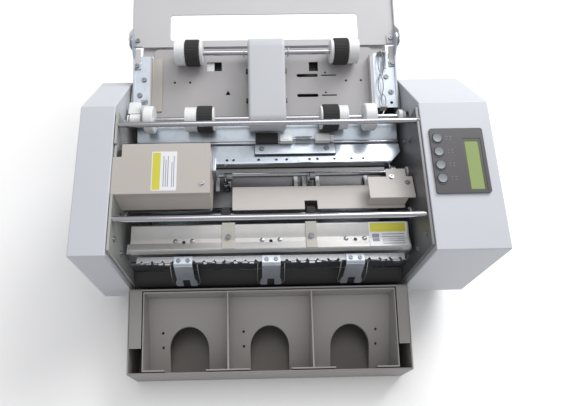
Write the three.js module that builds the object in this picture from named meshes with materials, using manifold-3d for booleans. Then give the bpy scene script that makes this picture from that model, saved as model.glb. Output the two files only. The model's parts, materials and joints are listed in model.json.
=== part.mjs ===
// Automatic card cutter: a sheet feeder, a slitter and a cross-cut knife between two housings.
// Millimetres. X points to the right, Y to the rear and Z up. Parts are laid out from the
// housings' front edge (Y = 0), and the finished group is moved so that the origin lies under
// the middle of its bounding box.
import * as THREE from 'three';
import { mergeVertices } from 'three/addons/utils/BufferGeometryUtils.js';
import Module from 'manifold-3d';

const wasm = await Module();
wasm.setup();

// ---------------------------------------------------------------- driving dimensions
const GAP = 0.3; // clearance between touching pieces
const SHEET = 1.5; // thickness of folded sheet metal
const SHELL = 2.5; // wall of the moulded housings
const INNER = 160; // half the distance between the housings
const LEFT_WIDTH = 36.6;
const RIGHT_WIDTH = 74;
const FOOT_HEIGHT = 13;
const BASE_Z = 16; // underside of the housings
const NOSE_Z = 178.8;
const RIDGE = [156.7, 209.6];
const HOUSING = [
  [32.7, BASE_Z], [229.6, BASE_Z], [229.6, 165.1], RIDGE, [0, NOSE_Z], [0, 48.7],
]; // side outline, Y and Z
const TOP_SLOPE = Math.atan2(RIDGE[1] - NOSE_Z, RIDGE[0]);
const PLATE_IN = 156.5; // side plates' inner face
const PLATE_OUT = 159;

const DECK_SLOPE = THREE.MathUtils.degToRad(19);
const FEED = [165.5, 174]; // feed shaft, Y and Z
const PICKUP = [241, 200]; // pick-up shaft
const ROLLER_R = 15;
const SHAFT_R = 3;
const SLITTER = [106, 150]; // upper slitter shaft
const DISC_R = 12;
const DISC_OVERLAP = 0.5;
const LOWER_SLITTER = [SLITTER[0], SLITTER[1] - 2 * DISC_R + DISC_OVERLAP];
const DISC_X = 46; // inner slitter discs, from the middle
const DISC_OUTER_X = 136;
const EXIT = [62, 137]; // exit shaft
const EXIT_R = 9;
const FRONT_ROD = [38.2, 180.2];
const REAR_ROD = [137.6, 202.5];
const MOTOR = [120, 70];

const HINGE = [261.5, 201.9]; // cover's hinge axis
const PIN_R = 2;
const COVER_SLOPE = THREE.MathUtils.degToRad(18.3); // rear facet, cover open
const COVER_REAR = 105.5; // lengths of the cover's two facets
const COVER_FRONT = 146;
const COVER_HALF = 158;
const LUG_HEIGHT = 17;
const RIM = 2.5; // turned edge along the front facet
const LUG = 6; // how far the flanges run past the cover's edge, round the hinge pins
const WINDOW = { half: 113, near: 8.1, far: 41.7, radius: 4 };
const COVER_EDGE = [262, 189.4]; // inner surface of the cover's rear edge, open

const TRAY = { x0: -160.5, x1: 159, front: -90.7, rear: -2.5, frontZ: 51.2, rearZ: 80.5 };
const BAY = 95.6; // pitch of the three card bays
const INSERT_HALF = 144;
const FLOOR_REAR = [-5.5, 57];
const FLOOR_FRONT = [-87.5, 5];
const ARCH_HALF = 23.2;
const GEAR_COVER = { y0: 61.5, y1: 115, right: -60, drop: 1.5 };

// ---------------------------------------------------------------- materials
const material = (color, roughness, metalness = 0) =>
  new THREE.MeshStandardMaterial({ color, roughness, metalness });
const MAT = {
  shell: material(0xc6cad2, 0.55),
  painted: material(0xd2d0d0, 0.5),
  beige: material(0xc4b8ac, 0.6),
  zinc: material(0xbcc4cc, 0.3, 0.9),
  steel: material(0xaeb2b8, 0.3, 1),
  chrome: material(0xe2e4e8, 0.12, 1),
  dark: material(0x33343a, 0.6),
  tray: material(0x827e7a, 0.6),
  rubber: material(0x2c2a2a, 0.85),
  nylon: material(0xf0f0ee, 0.45),
  panel: material(0x565459, 0.5),
  display: material(0x8ca269, 0.3),
  button: material(0xb9bcc0, 0.5),
  board: material(0x2e6b3c, 0.6),
};

// ---------------------------------------------------------------- solids
function toSolid(geometry) {
  const bare = geometry.clone();
  bare.deleteAttribute('normal');
  bare.deleteAttribute('uv');
  const merged = mergeVertices(bare, 1e-4);
  const index = merged.index.array;
  const faces = [];
  for (let i = 0; i < index.length; i += 3) {
    const [a, b, c] = [index[i], index[i + 1], index[i + 2]];
    if (a !== b && b !== c && c !== a) faces.push(a, b, c);
  }
  const make = (triVerts) => new wasm.Manifold(new wasm.Mesh({
    numProp: 3,
    vertProperties: new Float32Array(merged.attributes.position.array),
    triVerts: new Uint32Array(triVerts),
  }));
  const solid = make(faces);
  return solid.volume() > 0 ? solid : make(faces.reverse());
}

function toGeometry(solid) {
  const mesh = solid.getMesh();
  const geometry = new THREE.BufferGeometry();
  geometry.setAttribute('position', new THREE.BufferAttribute(mesh.vertProperties.slice(), mesh.numProp));
  geometry.setIndex(Array.from(mesh.triVerts));
  const flat = geometry.toNonIndexed();
  flat.computeVertexNormals();
  return flat;
}

const join = (first, ...rest) => rest.reduce((sum, next) => sum.add(next), first);
const cut = (first, ...rest) => rest.reduce((sum, next) => sum.subtract(next), first);

function block(x0, x1, y0, y1, z0, z1) {
  const geometry = new THREE.BoxGeometry(x1 - x0, y1 - y0, z1 - z0);
  return toSolid(geometry.translate((x0 + x1) / 2, (y0 + y1) / 2, (z0 + z1) / 2));
}

function extruded(shape, length) {
  return new THREE.ExtrudeGeometry(shape, { depth: length, bevelEnabled: false, curveSegments: 8 });
}

const shapeOf = (points) => new THREE.Shape(points.map(([a, b]) => new THREE.Vector2(a, b)));

// Outline in Y and Z, drawn out along X.
function prismX(outline, x0, x1) {
  const turn = new THREE.Matrix4().makeBasis(
    new THREE.Vector3(0, 1, 0), new THREE.Vector3(0, 0, 1), new THREE.Vector3(1, 0, 0));
  const shape = outline instanceof THREE.Shape ? outline : shapeOf(outline);
  return toSolid(extruded(shape, x1 - x0).applyMatrix4(turn).translate(x0, 0, 0));
}

// Outline in X and Y, drawn out along Z.
function prismZ(outline, z0, z1) {
  const shape = outline instanceof THREE.Shape ? outline : shapeOf(outline);
  return toSolid(extruded(shape, z1 - z0).translate(0, 0, z0));
}

function cylinder(radius, length, sides = 24) {
  return new THREE.CylinderGeometry(radius, radius, length, sides);
}

function cylinderX([y, z], radius, x0, x1, sides) {
  return toSolid(cylinder(radius, x1 - x0, sides).rotateZ(Math.PI / 2).translate((x0 + x1) / 2, y, z));
}

function cylinderZ(x, y, radius, z0, z1, sides) {
  return toSolid(cylinder(radius, z1 - z0, sides).rotateX(Math.PI / 2).translate(x, y, (z0 + z1) / 2));
}

// A turned shaft along X: steps of [x at the step's end, radius], starting at x0.
function turnedX([y, z], x0, steps, sides = 20) {
  const profile = [new THREE.Vector2(0, x0)];
  let x = x0;
  for (const [end, radius] of steps) {
    profile.push(new THREE.Vector2(radius, x), new THREE.Vector2(radius, end));
    x = end;
  }
  profile.push(new THREE.Vector2(0, x));
  const geometry = new THREE.LatheGeometry(profile, sides);
  return toSolid(geometry.rotateZ(-Math.PI / 2).translate(0, y, z));
}

function ringX(centre, outer, inner, x0, x1, sides = 24) {
  return cut(cylinderX(centre, outer, x0, x1, sides), cylinderX(centre, inner, x0 - 1, x1 + 1, sides));
}

// Moves each corner of an outline to its left by distance, keeping the sides parallel.
function offset(points, distance, closed = false) {
  const n = points.length;
  const left = (a, b) => {
    const length = Math.hypot(b[0] - a[0], b[1] - a[1]);
    return [(a[1] - b[1]) / length, (b[0] - a[0]) / length];
  };
  return points.map((p, i) => {
    const before = closed || i > 0 ? left(points[(i + n - 1) % n], p) : null;
    const after = closed || i < n - 1 ? left(p, points[(i + 1) % n]) : null;
    const [u, v] = [before ?? after, after ?? before];
    const k = distance / (1 + u[0] * v[0] + u[1] * v[1]);
    return [p[0] + (u[0] + v[0]) * k, p[1] + (u[1] + v[1]) * k];
  });
}

// Folded sheet: a line in Y and Z given a thickness to its left, drawn out along X.
function sheetX(line, thickness, x0, x1) {
  return prismX([...line, ...offset(line, thickness).reverse()], x0, x1);
}

function roundedRect(x0, x1, y0, y1, r) {
  const shape = new THREE.Shape();
  shape.moveTo(x0 + r, y0).lineTo(x1 - r, y0);
  shape.absarc(x1 - r, y0 + r, r, -Math.PI / 2, 0, false);
  shape.absarc(x1 - r, y1 - r, r, 0, Math.PI / 2, false);
  shape.absarc(x0 + r, y1 - r, r, Math.PI / 2, Math.PI, false);
  shape.absarc(x0 + r, y0 + r, r, Math.PI, 1.5 * Math.PI, false);
  return shape;
}

// Outline of a band round two circles, as a belt lies on its pulleys.
function bandOutline([ay, az], ar, [by, bz], br) {
  const along = Math.atan2(bz - az, by - ay);
  const open = Math.acos((ar - br) / Math.hypot(by - ay, bz - az));
  const shape = new THREE.Shape();
  shape.absarc(ay, az, ar, along + open, along - open + 2 * Math.PI, false);
  shape.absarc(by, bz, br, along - open, along + open, false);
  shape.closePath();
  return shape;
}

const machine = new THREE.Group();

function add(name, solid, finish, parent = machine) {
  const mesh = new THREE.Mesh(toGeometry(solid), finish);
  mesh.name = name;
  parent.add(mesh);
  return mesh;
}

const topLine = (y) => NOSE_Z + y * Math.tan(TOP_SLOPE);
const deckLine = (y) => FEED[1] - (ROLLER_R + GAP) * Math.cos(DECK_SLOPE)
  + (y - FEED[0] - (ROLLER_R + GAP) * Math.sin(DECK_SLOPE)) * Math.tan(DECK_SLOPE);
const SIDES = [['left', -1], ['right', 1]];

// An outline drawn out from x0 to x1, measured outwards from the middle on either side.
const sidePrism = (side, outline, x0, x1) =>
  prismX(outline, Math.min(side * x0, side * x1), Math.max(side * x0, side * x1));

// ---------------------------------------------------------------- base and housings
function addBase() {
  const [x0, x1, y0, y1] = [-INNER - LEFT_WIDTH + 3, INNER + RIGHT_WIDTH - 3, 37, 226];
  add('base_plate', block(x0, x1, y0, y1, FOOT_HEIGHT, BASE_Z - GAP), MAT.zinc);
  for (const [name, x, y] of [
    ['front_left', x0 + 16, y0 + 16], ['front_right', x1 - 16, y0 + 16],
    ['rear_left', x0 + 16, y1 - 16], ['rear_right', x1 - 16, y1 - 16],
  ]) {
    add(`foot_${name}`, cylinderZ(x, y, 11, 0, FOOT_HEIGHT - GAP), MAT.rubber);
  }
}

function housingShell(x0, x1) {
  const cavity = offset(HOUSING, SHELL, true);
  cavity[0] = [cavity[0][0] + 2, BASE_Z - 1];
  cavity[1] = [cavity[1][0], BASE_Z - 1];
  return cut(prismX(HOUSING, x0, x1), prismX(cavity, x0 + SHELL, x1 - SHELL));
}

function addHousings() {
  add('left_housing', housingShell(-INNER - LEFT_WIDTH, -INNER), MAT.shell);
  const panelOpening = prismZ(roundedRect(168.2, 219.5, 59, 124, 2), -8, 4)
    .rotate([THREE.MathUtils.radToDeg(TOP_SLOPE), 0, 0]).translate([0, 0, NOSE_Z]);
  const right = cut(
    housingShell(INNER, INNER + RIGHT_WIDTH),
    panelOpening,
    cylinderX(FEED, 6, INNER - 1, INNER + SHELL + 1),
    cylinderX(MOTOR, 9, INNER - 1, INNER + SHELL + 1),
    block(188.5, 215.5, 220, 235, 32.5, 55.5),
    block(195.5, 208.5, 220, 235, 65.5, 86.5),
  );
  add('right_housing', right, MAT.shell);
}

function addSidePlates() {
  const outline = [
    [40, BASE_Z], [222, BASE_Z], [222, 120], [246, 160], [246, 168], [205, 168], [186, 160],
    [153, 186.2], [151, topLine(151) - 0.6], [6, topLine(6) - 0.6], [6, 60],
  ];
  for (const [name, side] of SIDES) {
    const hole = (centre, radius) =>
      cylinderX(centre, radius, Math.min(side * 150, side * 165), Math.max(side * 150, side * 165));
    const plate = cut(
      sidePrism(side, outline, PLATE_IN, PLATE_OUT),
      hole(FEED, SHAFT_R + GAP), hole(SLITTER, SHAFT_R + GAP), hole(LOWER_SLITTER, SHAFT_R + GAP),
      hole(EXIT, SHAFT_R + GAP), hole(FRONT_ROD, SHAFT_R + GAP), hole(REAR_ROD, SHAFT_R + GAP),
    );
    const [y0, y1] = [GEAR_COVER.y0 - 0.5, GEAR_COVER.y1 + 0.5];
    const seat = (y) => topLine(y) - GEAR_COVER.drop - SHEET - GAP;
    const recess = prismX([[y0, seat(y0)], [y1, seat(y1)], [y1, 230], [y0, 230]], -INNER, -150);
    add(`${name}_side_plate`, cut(plate, recess), MAT.zinc);
  }
}

function addFrameBars() {
  add('front_tie_rod', cylinderX(FRONT_ROD, SHAFT_R, -INNER + GAP, INNER - GAP), MAT.chrome);
  add('rear_tie_rod', cylinderX(REAR_ROD, SHAFT_R, -INNER + GAP, INNER - GAP), MAT.chrome);
  add('rear_panel', block(-156, 156, 223, 224.5, BASE_Z, 156), MAT.shell);
  add('front_apron', sheetX([[3, 17], [3, 71], [18.6, 82]], -SHEET, -156, 156), MAT.dark);
}

// ---------------------------------------------------------------- sheet feeder
function addDeck() {
  const [y0, y1] = [178, 257.8];
  let deck = sheetX([[y0, deckLine(y0)], [y1, deckLine(y1)]], -SHEET, -131, 128);
  const through = (x0, x1, ya, yb) => block(x0, x1, ya, yb, 150, 200);
  deck = cut(deck, through(-69, -51.5, 231.4, 242), through(52, 62.6, 230, 241));
  for (const y of [201.5, 225]) {
    deck = cut(deck, through(37, 62, y - 2, y + 2), through(66, 84, y - 0.8, y + 0.8));
  }
  for (const x of [-107, -89, 95.4, 113.2]) deck = cut(deck, cylinderZ(x, 218.5, 1.4, 150, 200, 12));
  deck = cut(deck, prismZ([[-47, 203.6], [-41.8, 203.6], [-44.4, 208]], 150, 200));
  add('feed_deck', deck, MAT.painted);
  const guideLine = [[176.8, 160.6], [165, 157], [150.5, 150.8], [147, 146]];
  add('deck_front_guide', sheetX(guideLine, SHEET, -150, 152), MAT.zinc);
}

// Rails either side of the deck: an inward flange under the paper guides, and a hinge ear.
function addDeckRails() {
  const [y0, y1] = [186, 250];
  for (const [name, side] of SIDES) {
    const web = [
      [y0, deckLine(y0) - 12], [y1 - 8, deckLine(y1) - 14], [y1 + 4, deckLine(y1) - 4],
      [HINGE[0] + 6, HINGE[1] - 4], [HINGE[0] + 5, HINGE[1] + 5], [HINGE[0] - 5, HINGE[1] + 5],
      [y1 - 6, deckLine(y1) + 3], [y0, deckLine(y0)],
    ];
    const flange = [[y0, deckLine(y0)], [y1, deckLine(y1)]];
    const inner = side < 0 ? 131.6 : 128.6;
    const rail = join(
      sidePrism(side, web, 153.6, 155.4),
      sidePrism(side, [...flange, ...offset(flange, -SHEET).reverse()], inner, 154.5),
      cylinderX(HINGE, PIN_R, Math.min(side * 154, side * 158.8), Math.max(side * 154, side * 158.8), 16),
    );
    add(`${name}_deck_rail`, rail, MAT.zinc);
  }
}

function addPaperGuides() {
  for (const [name, side, inner] of [['left', -1, 121.2], ['right', 1, 122.5]]) {
    const line = [[184.5, deckLine(184.5) + GAP], [246, deckLine(246) + GAP]];
    const foot = [...line, ...offset(line, 1.2).reverse()];
    const wall = [...line, ...offset(line, 9).reverse()];
    const width = side < 0 ? 12.6 : 6;
    const guide = join(
      sidePrism(side, foot, inner, inner + width),
      side < 0 ? sidePrism(side, wall, inner + width - 1.4, inner + width)
        : sidePrism(side, wall, inner, inner + 1.4),
    );
    add(`${name}_paper_guide`, guide, side < 0 ? MAT.beige : MAT.painted);
  }
}

function addFeedShaft() {
  const hub = 9;
  const steps = [
    [-141.5, 7], [-137.6, SHAFT_R], [-126.4, 15.5], [-91.4, SHAFT_R], [-78.2, 13.6], [-60.9, hub],
    [-58.7, 13.2], [60.4, SHAFT_R], [62.7, 13.2], [80.9, hub], [91.1, 13.6], [109.4, SHAFT_R],
    [123, 15.5], [149, SHAFT_R], [156, 8], [168.5, SHAFT_R], [177.5, 13.5], [179.5, SHAFT_R],
  ];
  add('feed_shaft', turnedX(FEED, -154, steps), MAT.nylon);
  add('left_feed_roller', ringX(FEED, ROLLER_R, hub + GAP, -77.9, -61.2), MAT.rubber);
  add('right_feed_roller', ringX(FEED, ROLLER_R, hub + GAP, 63, 80.6), MAT.rubber);
}

function addPickupArm() {
  const [x0, x1, wall] = [-20.4, 21.8, 2];
  const outer = prismX(bandOutline(FEED, 14.3, PICKUP, 15.2), x0, x1);
  const inner = prismX(bandOutline(FEED, 14.3 - wall, PICKUP, 15.2 - wall), x0 + wall, x1 - wall);
  const below = [
    [FEED[0] - 20, FEED[1] - 15], [FEED[0] - 20, FEED[1] - 30], [PICKUP[0] + 20, PICKUP[1] - 30],
    [PICKUP[0] + 20, PICKUP[1] + 1.5], [PICKUP[0] + 17, PICKUP[1]], [FEED[0] - 6, FEED[1] - 8],
  ];
  const arm = cut(
    outer, inner, prismX(below, x0 - 1, x1 + 1),
    cylinderX(FEED, SHAFT_R + GAP, x0 - 1, x1 + 1), cylinderX(PICKUP, SHAFT_R + GAP, x0 - 1, x1 + 1),
  );
  add('pickup_arm', arm, MAT.painted);
  const hub = 9;
  const steps = [
    [-92.1, 13.8], [-75.6, hub], [-72.2, 13.2], [74.9, SHAFT_R], [78.4, 13.2], [95.3, hub],
    [107.5, 13.8],
  ];
  add('pickup_shaft', turnedX(PICKUP, -104.5, steps), MAT.nylon);
  add('left_pickup_roller', ringX(PICKUP, ROLLER_R, hub + GAP, -91.8, -75.9), MAT.rubber);
  add('right_pickup_roller', ringX(PICKUP, ROLLER_R, hub + GAP, 78.7, 95), MAT.rubber);
}

function addSeparator() {
  const [y0, y1, z] = [143.2, 153, 155.2];
  const holder = join(
    block(15, 29, y0, y1, z, z + 6.3), block(55, 72, y0, y1, z, z + 6.3),
    cylinderX([(y0 + y1) / 2, z + 3.2], 2, 28, 56, 16),
  );
  add('pad_holder', holder, MAT.nylon);
  add('separation_pad', prismX([[144.4, 154.4], [157, 155.8], [157, 158.8], [144.4, 157.4]], -13, 13), MAT.rubber);
  add('pad_knob', cylinderX([(y0 + y1) / 2, z + 3.2], 4, 72 + GAP, 76.5, 16), MAT.nylon);
}

// ---------------------------------------------------------------- slitter and exit
function addCrossMember() {
  const line = [[145, 150], [120, 150], [119, 141]];
  let member = sheetX(line, SHEET, -152, 153);
  member = cut(member, prismZ([[138, 118], [154, 118], [154, 134]], 130, 160));
  for (const x of [-46, -38.5, -10, 10, 22, 48, 57, 76.5, 96, 109.5]) {
    member = cut(member, cylinderZ(x, 125.5, 1.3, 145, 155, 10));
  }
  add('cross_member', member, MAT.zinc);
}

function addSlitter() {
  const centres = [-DISC_OUTER_X, -DISC_X, DISC_X, DISC_OUTER_X];
  const discs = (shift) => centres.flatMap((x) => [[x + shift - 1, SHAFT_R], [x + shift + 1, DISC_R]]);
  add('slitter_upper', turnedX(SLITTER, -158.5, [...discs(-1.2), [158.5, SHAFT_R]]), MAT.chrome);
  add('slitter_lower', turnedX(LOWER_SLITTER, -158.5, [...discs(1.2), [158.5, SHAFT_R]]), MAT.chrome);

  let guide = block(-152, 152, 72, 116, 134.5, 136);
  for (const x of centres) guide = cut(guide, block(x - 4, x + 4, 92, 117, 130, 140));
  add('lower_guide_plate', guide, MAT.steel);
}

function addExitGuides() {
  add('left_exit_plate', block(-152, -62, 64, 84, 143, 144.5), MAT.steel);
  const plate = cut(block(-39.5, 148, 62.5, 91, 147, 148.5), block(39, 53, 60, 73, 140, 150));
  const hood = join(
    block(107, 155.5, 66, 91.8, 163.5, 165), block(127.6, 149, 91, 101.6, 163.5, 165),
    block(107, 148, 66, 67.5, 148, 164),
  );
  add('right_exit_plate', join(plate, hood), MAT.painted);
  const steps = [
    [-52, SHAFT_R], [-42, EXIT_R], [41, SHAFT_R], [51, EXIT_R], [158.5, SHAFT_R],
  ];
  add('exit_shaft', turnedX(EXIT, -158.5, steps), MAT.steel);
}

// Cover over the gearing on the left: a sloping top that reaches over the side plate, with walls
// at its right and front, and a notch for the leads at its left rear corner.
function addGearCover() {
  const [y0, y1] = [GEAR_COVER.y0, GEAR_COVER.y1];
  const under = (y) => topLine(y) - GEAR_COVER.drop - SHEET;
  const top = (y) => topLine(y) - GEAR_COVER.drop;
  const outline = [[y0, 154], [y1, 154], [y1, top(y1)], [y0, top(y0)]];
  const hollow = [[y0 + SHEET, 153], [y1 + 1, 153], [y1 + 1, under(y1 + 1)], [y0 + SHEET, under(y0 + SHEET)]];
  const beside = [[y0 - 1, 153], [y1 + 1, 153], [y1 + 1, under(y1 + 1)], [y0 - 1, under(y0 - 1)]];
  const cover = cut(
    prismX(outline, -INNER + GAP, GEAR_COVER.right),
    prismX(hollow, -INNER - 1, GEAR_COVER.right - SHEET),
    prismX(beside, -INNER - 1, -PLATE_IN + GAP), block(-INNER - 1, -150.5, 101, 120, 150, 210),
  );
  add('gear_cover', cover, MAT.beige);
}

// ---------------------------------------------------------------- cross-cut knife
function addKnife() {
  const line = [[51, 133], [51, 139], [33, 134.6], [21.7, 137.4], [20.9, 130]];
  let bar = sheetX(line, 2.4, -149, 151);
  for (const x of [-92, -8, 1.5, 11, 82.5, 92.5, 102.5]) {
    bar = cut(bar, cylinderZ(x, 33, 1.5, 125, 145, 10));
  }
  add('knife_bar', bar, MAT.zinc);
  add('fixed_blade', block(-156, 156, 19, 21.5, 84, 102.5), MAT.steel);
  const blade = prismX([[22, 105], [24.3, 107], [24.3, 113], [33, 113], [33, 128], [22, 128]], -154, 154);
  add('moving_blade', blade, MAT.steel);
}

function addCardStrip() {
  const [x0, x1, y0, y1, teeth] = [-143, 146, 12.2, 19, 26];
  const outline = [[x0, y1], [x0, y0]];
  const step = (x1 - x0) / teeth;
  for (let i = 0; i < teeth; i += 1) {
    outline.push([x0 + (i + 0.3) * step, y0], [x0 + (i + 0.5) * step, y0 + 2.5], [x0 + (i + 0.7) * step, y0]);
  }
  outline.push([x1, y0], [x1, y1]);
  add('card_strip', prismZ(outline, 122, 125.5), MAT.steel);
}

function addDeflectors() {
  const line = [[18.6, 125.8], [9.4, 125.8], [0.8, 84]];
  for (const [name, x] of [['left', -93], ['centre', 1.5], ['right', 92]]) {
    const tongue = cut(
      sheetX(line, -1.4, x - 12, x + 12),
      block(x - 4, x + 4, -5, 10, 80, 97), block(x - 7.5, x - 6, -5, 14, 98, 118),
    );
    add(`deflector_${name}`, tongue, MAT.zinc);
  }
}

// ---------------------------------------------------------------- control panel
function addControls() {
  const face = new THREE.Group();
  face.position.z = NOSE_Z;
  face.rotation.x = TOP_SLOPE;
  machine.add(face);
  const buttonX = 173.9;
  const buttonY = [116.4, 101.4, 86.9, 72.5];
  const lcd = { x0: 200.8, x1: 217, y0: 59.8, y1: 114.6 };
  let panel = prismZ(roundedRect(166.8, 222, 56.8, 127.5, 2.4), GAP, 2.3);
  panel = cut(panel, block(lcd.x0, lcd.x1, lcd.y0, lcd.y1, -1, 4));
  for (const y of buttonY) panel = cut(panel, cylinderZ(buttonX, y, 5.3, -1, 4));
  add('control_panel', panel, MAT.panel, face);
  buttonY.forEach((y, i) => {
    add(`button_${i + 1}`, cylinderZ(buttonX, y, 4.8, -3, 3.8), MAT.button, face);
  });
  const lens = block(lcd.x0 + GAP, lcd.x1 - GAP, lcd.y0 + GAP, lcd.y1 - GAP, -3, 1.7);
  add('display', lens, MAT.display, face);
}

// ---------------------------------------------------------------- drive and electrics
function addElectrics() {
  add('drive_motor', turnedX(MOTOR, 180, [[182, 8], [222, 21]]), MAT.steel);
  add('motor_pulley', turnedX(MOTOR, 167, [[168.5, 8.3], [177.5, 6.5], [179.5, 8.3]]), MAT.steel);
  const belt = 1.8;
  const band = (extra, x0, x1) =>
    prismX(bandOutline(MOTOR, 6.5 + GAP + extra, FEED, 13.5 + GAP + extra), x0, x1);
  add('drive_belt', cut(band(belt, 169, 177), band(0, 168, 178)), MAT.rubber);
  add('knife_motor', turnedX([45, 96], -193, [[-168, 17], [-164, 6]]), MAT.steel);
  add('control_board', block(225, 226.6, 20, 110, 60, 160), MAT.board);
  const inlet = cut(
    join(block(189, 215, 208, 230.5, 33, 55), block(186.5, 217.5, 229.6 + GAP, 232, 30.5, 57.5)),
    block(191.5, 212.5, 214, 233, 36, 52),
  );
  add('power_inlet', inlet, MAT.dark);
  const rocker = [[224, 67.5], [229.5, 67], [231.5, 68], [230, 76], [231.5, 84], [229.5, 85], [224, 84.5]];
  add('power_switch', prismX(rocker, 196, 208), MAT.dark);
}

// ---------------------------------------------------------------- top cover, shown open
function addCover() {
  const step = (p, angle, length) => [p[0] + Math.cos(angle) * length, p[1] + Math.sin(angle) * length];
  const bend = step(COVER_EDGE, COVER_SLOPE, COVER_REAR);
  const tip = step(bend, COVER_SLOPE + TOP_SLOPE, COVER_FRONT);
  const skin = sheetX([COVER_EDGE, bend, tip], -SHEET, -COVER_HALF, COVER_HALF);

  const up = COVER_SLOPE + Math.PI / 2;
  const frontUp = up + TOP_SLOPE;
  const lug = step(COVER_EDGE, COVER_SLOPE, -LUG);
  const flange = [
    step(COVER_EDGE, up, -0.5), step(bend, up, -0.5), step(tip, frontUp, -0.5), step(tip, frontUp, RIM),
    step(bend, frontUp, RIM), step(step(COVER_EDGE, COVER_SLOPE, 24), up, RIM),
    step(step(COVER_EDGE, COVER_SLOPE, 10), up, LUG_HEIGHT), step(lug, up, LUG_HEIGHT), step(lug, up, 6),
  ];
  const sides = SIDES.map(([, side]) => sidePrism(side, flange, COVER_HALF - SHEET, COVER_HALF));
  const centre = step(COVER_EDGE, COVER_SLOPE, (WINDOW.near + WINDOW.far) / 2);
  const half = (WINDOW.far - WINDOW.near) / 2;
  const opening = prismZ(roundedRect(-WINDOW.half, WINDOW.half, -half, half, WINDOW.radius), -5, 5)
    .rotate([THREE.MathUtils.radToDeg(COVER_SLOPE), 0, 0]).translate([0, centre[0], centre[1]]);
  const pinHole = cylinderX(HINGE, PIN_R + GAP, -INNER, INNER, 16);
  add('top_cover', cut(join(skin, ...sides), opening, pinHole), MAT.painted);
}

// ---------------------------------------------------------------- card tray
function addTray() {
  const rim = [[TRAY.front, TRAY.frontZ], [TRAY.rear, TRAY.rearZ]];
  const outline = [[TRAY.front, 0], [TRAY.rear, 0], ...rim.slice().reverse()];
  const wall = 1.8;
  const hollow = [
    [TRAY.front + wall, wall], [TRAY.rear - wall, wall], [TRAY.rear - wall, 120], [TRAY.front + wall, 120],
  ];
  const flangeLine = [[-64, TRAY.frontZ + (-64 - TRAY.front) * (TRAY.rearZ - TRAY.frontZ)
    / (TRAY.rear - TRAY.front)], rim[1]];
  const flange = [...flangeLine, ...offset(flangeLine, -SHEET).reverse()];
  const box = join(
    cut(prismX(outline, TRAY.x0, TRAY.x1), prismX(hollow, TRAY.x0 + wall, TRAY.x1 - wall)),
    prismX(flange, TRAY.x0 + 0.5, -INSERT_HALF - 1), prismX(flange, INSERT_HALF + 1, TRAY.x1 - 0.5),
  );
  add('tray_box', box, MAT.tray);
}

function addInsert() {
  const wall = 1.5;
  const [y0, y1] = [-87.6, TRAY.rear - 2.4];
  const top = (y) => TRAY.frontZ + (y - TRAY.front) * (TRAY.rearZ - TRAY.frontZ)
    / (TRAY.rear - TRAY.front) - 0.5;
  const outline = [[y0, 2.4], [y0 + 6, 2.4], [y1, FLOOR_REAR[1] - 2], [y1, top(y1)], [y0, top(y0)]];
  const room = [
    [y0 + wall, FLOOR_FRONT[1]], [y1 - wall, FLOOR_REAR[1]], [y1 - wall, 120], [y0 + wall, 120],
  ];
  let insert = prismX(outline, -INSERT_HALF, INSERT_HALF);
  for (const i of [-1, 0, 1]) {
    const [x0, x1] = [i * BAY - BAY / 2 + wall / 2, i * BAY + BAY / 2 - wall / 2];
    const arch = new THREE.Shape();
    arch.moveTo(i * BAY - ARCH_HALF, -100).lineTo(i * BAY + ARCH_HALF, -100);
    arch.absarc(i * BAY, -58.5, ARCH_HALF, 0, Math.PI, false);
    insert = cut(insert, prismX(room, x0, x1), prismZ(arch, -5, 120));
    for (const y of [-41.5, -56.5]) {
      insert = cut(insert, cylinderZ(i * BAY + (i > 0 ? 31 : -31), y, 1.5, -5, 100, 12));
    }
  }
  add('tray_insert', insert, MAT.tray);
}

addBase();
addHousings();
addSidePlates();
addFrameBars();
addDeck();
addDeckRails();
addPaperGuides();
addFeedShaft();
addPickupArm();
addSeparator();
addCrossMember();
addSlitter();
addExitGuides();
addGearCover();
addKnife();
addCardStrip();
addDeflectors();
addControls();
addElectrics();
addCover();
addTray();
addInsert();

const bounds = new THREE.Box3().setFromObject(machine);
const middle = bounds.getCenter(new THREE.Vector3());
machine.position.set(-middle.x, -middle.y, -bounds.min.z);

export default machine;
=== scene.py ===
# Looks for a sheet-fed card cutter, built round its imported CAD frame.
#
# Pieces are drawn in millimetres in the machine's own axes: X from the middle of the gap between
# the housings, Y from the housings' front edge towards the rear, Z up from the table.
import json
import math
from random import Random

import bmesh
import bpy
from mathutils import Matrix, Vector


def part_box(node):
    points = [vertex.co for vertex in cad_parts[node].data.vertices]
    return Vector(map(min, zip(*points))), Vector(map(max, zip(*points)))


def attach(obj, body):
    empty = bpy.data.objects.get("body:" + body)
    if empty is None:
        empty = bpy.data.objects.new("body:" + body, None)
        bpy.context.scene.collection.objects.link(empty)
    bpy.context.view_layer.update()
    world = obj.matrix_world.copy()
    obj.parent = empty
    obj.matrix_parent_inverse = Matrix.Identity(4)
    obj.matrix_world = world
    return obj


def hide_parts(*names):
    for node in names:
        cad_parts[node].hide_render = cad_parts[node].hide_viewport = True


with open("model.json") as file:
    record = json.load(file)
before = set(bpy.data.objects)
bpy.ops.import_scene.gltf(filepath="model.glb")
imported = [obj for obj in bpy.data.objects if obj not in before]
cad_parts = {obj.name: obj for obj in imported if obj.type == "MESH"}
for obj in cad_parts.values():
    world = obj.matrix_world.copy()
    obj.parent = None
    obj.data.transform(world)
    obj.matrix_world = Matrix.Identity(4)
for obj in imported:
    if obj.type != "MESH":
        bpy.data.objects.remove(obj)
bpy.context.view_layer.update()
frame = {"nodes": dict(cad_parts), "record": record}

# ---------------------------------------------------------------- datum and driving sizes
MM = 0.001
LEFT_LOW, LEFT_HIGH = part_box("left_housing")
RIGHT_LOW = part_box("right_housing")[0]
DATUM = Vector(((LEFT_HIGH.x + RIGHT_LOW.x) / 2, LEFT_LOW.y, 0))
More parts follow.
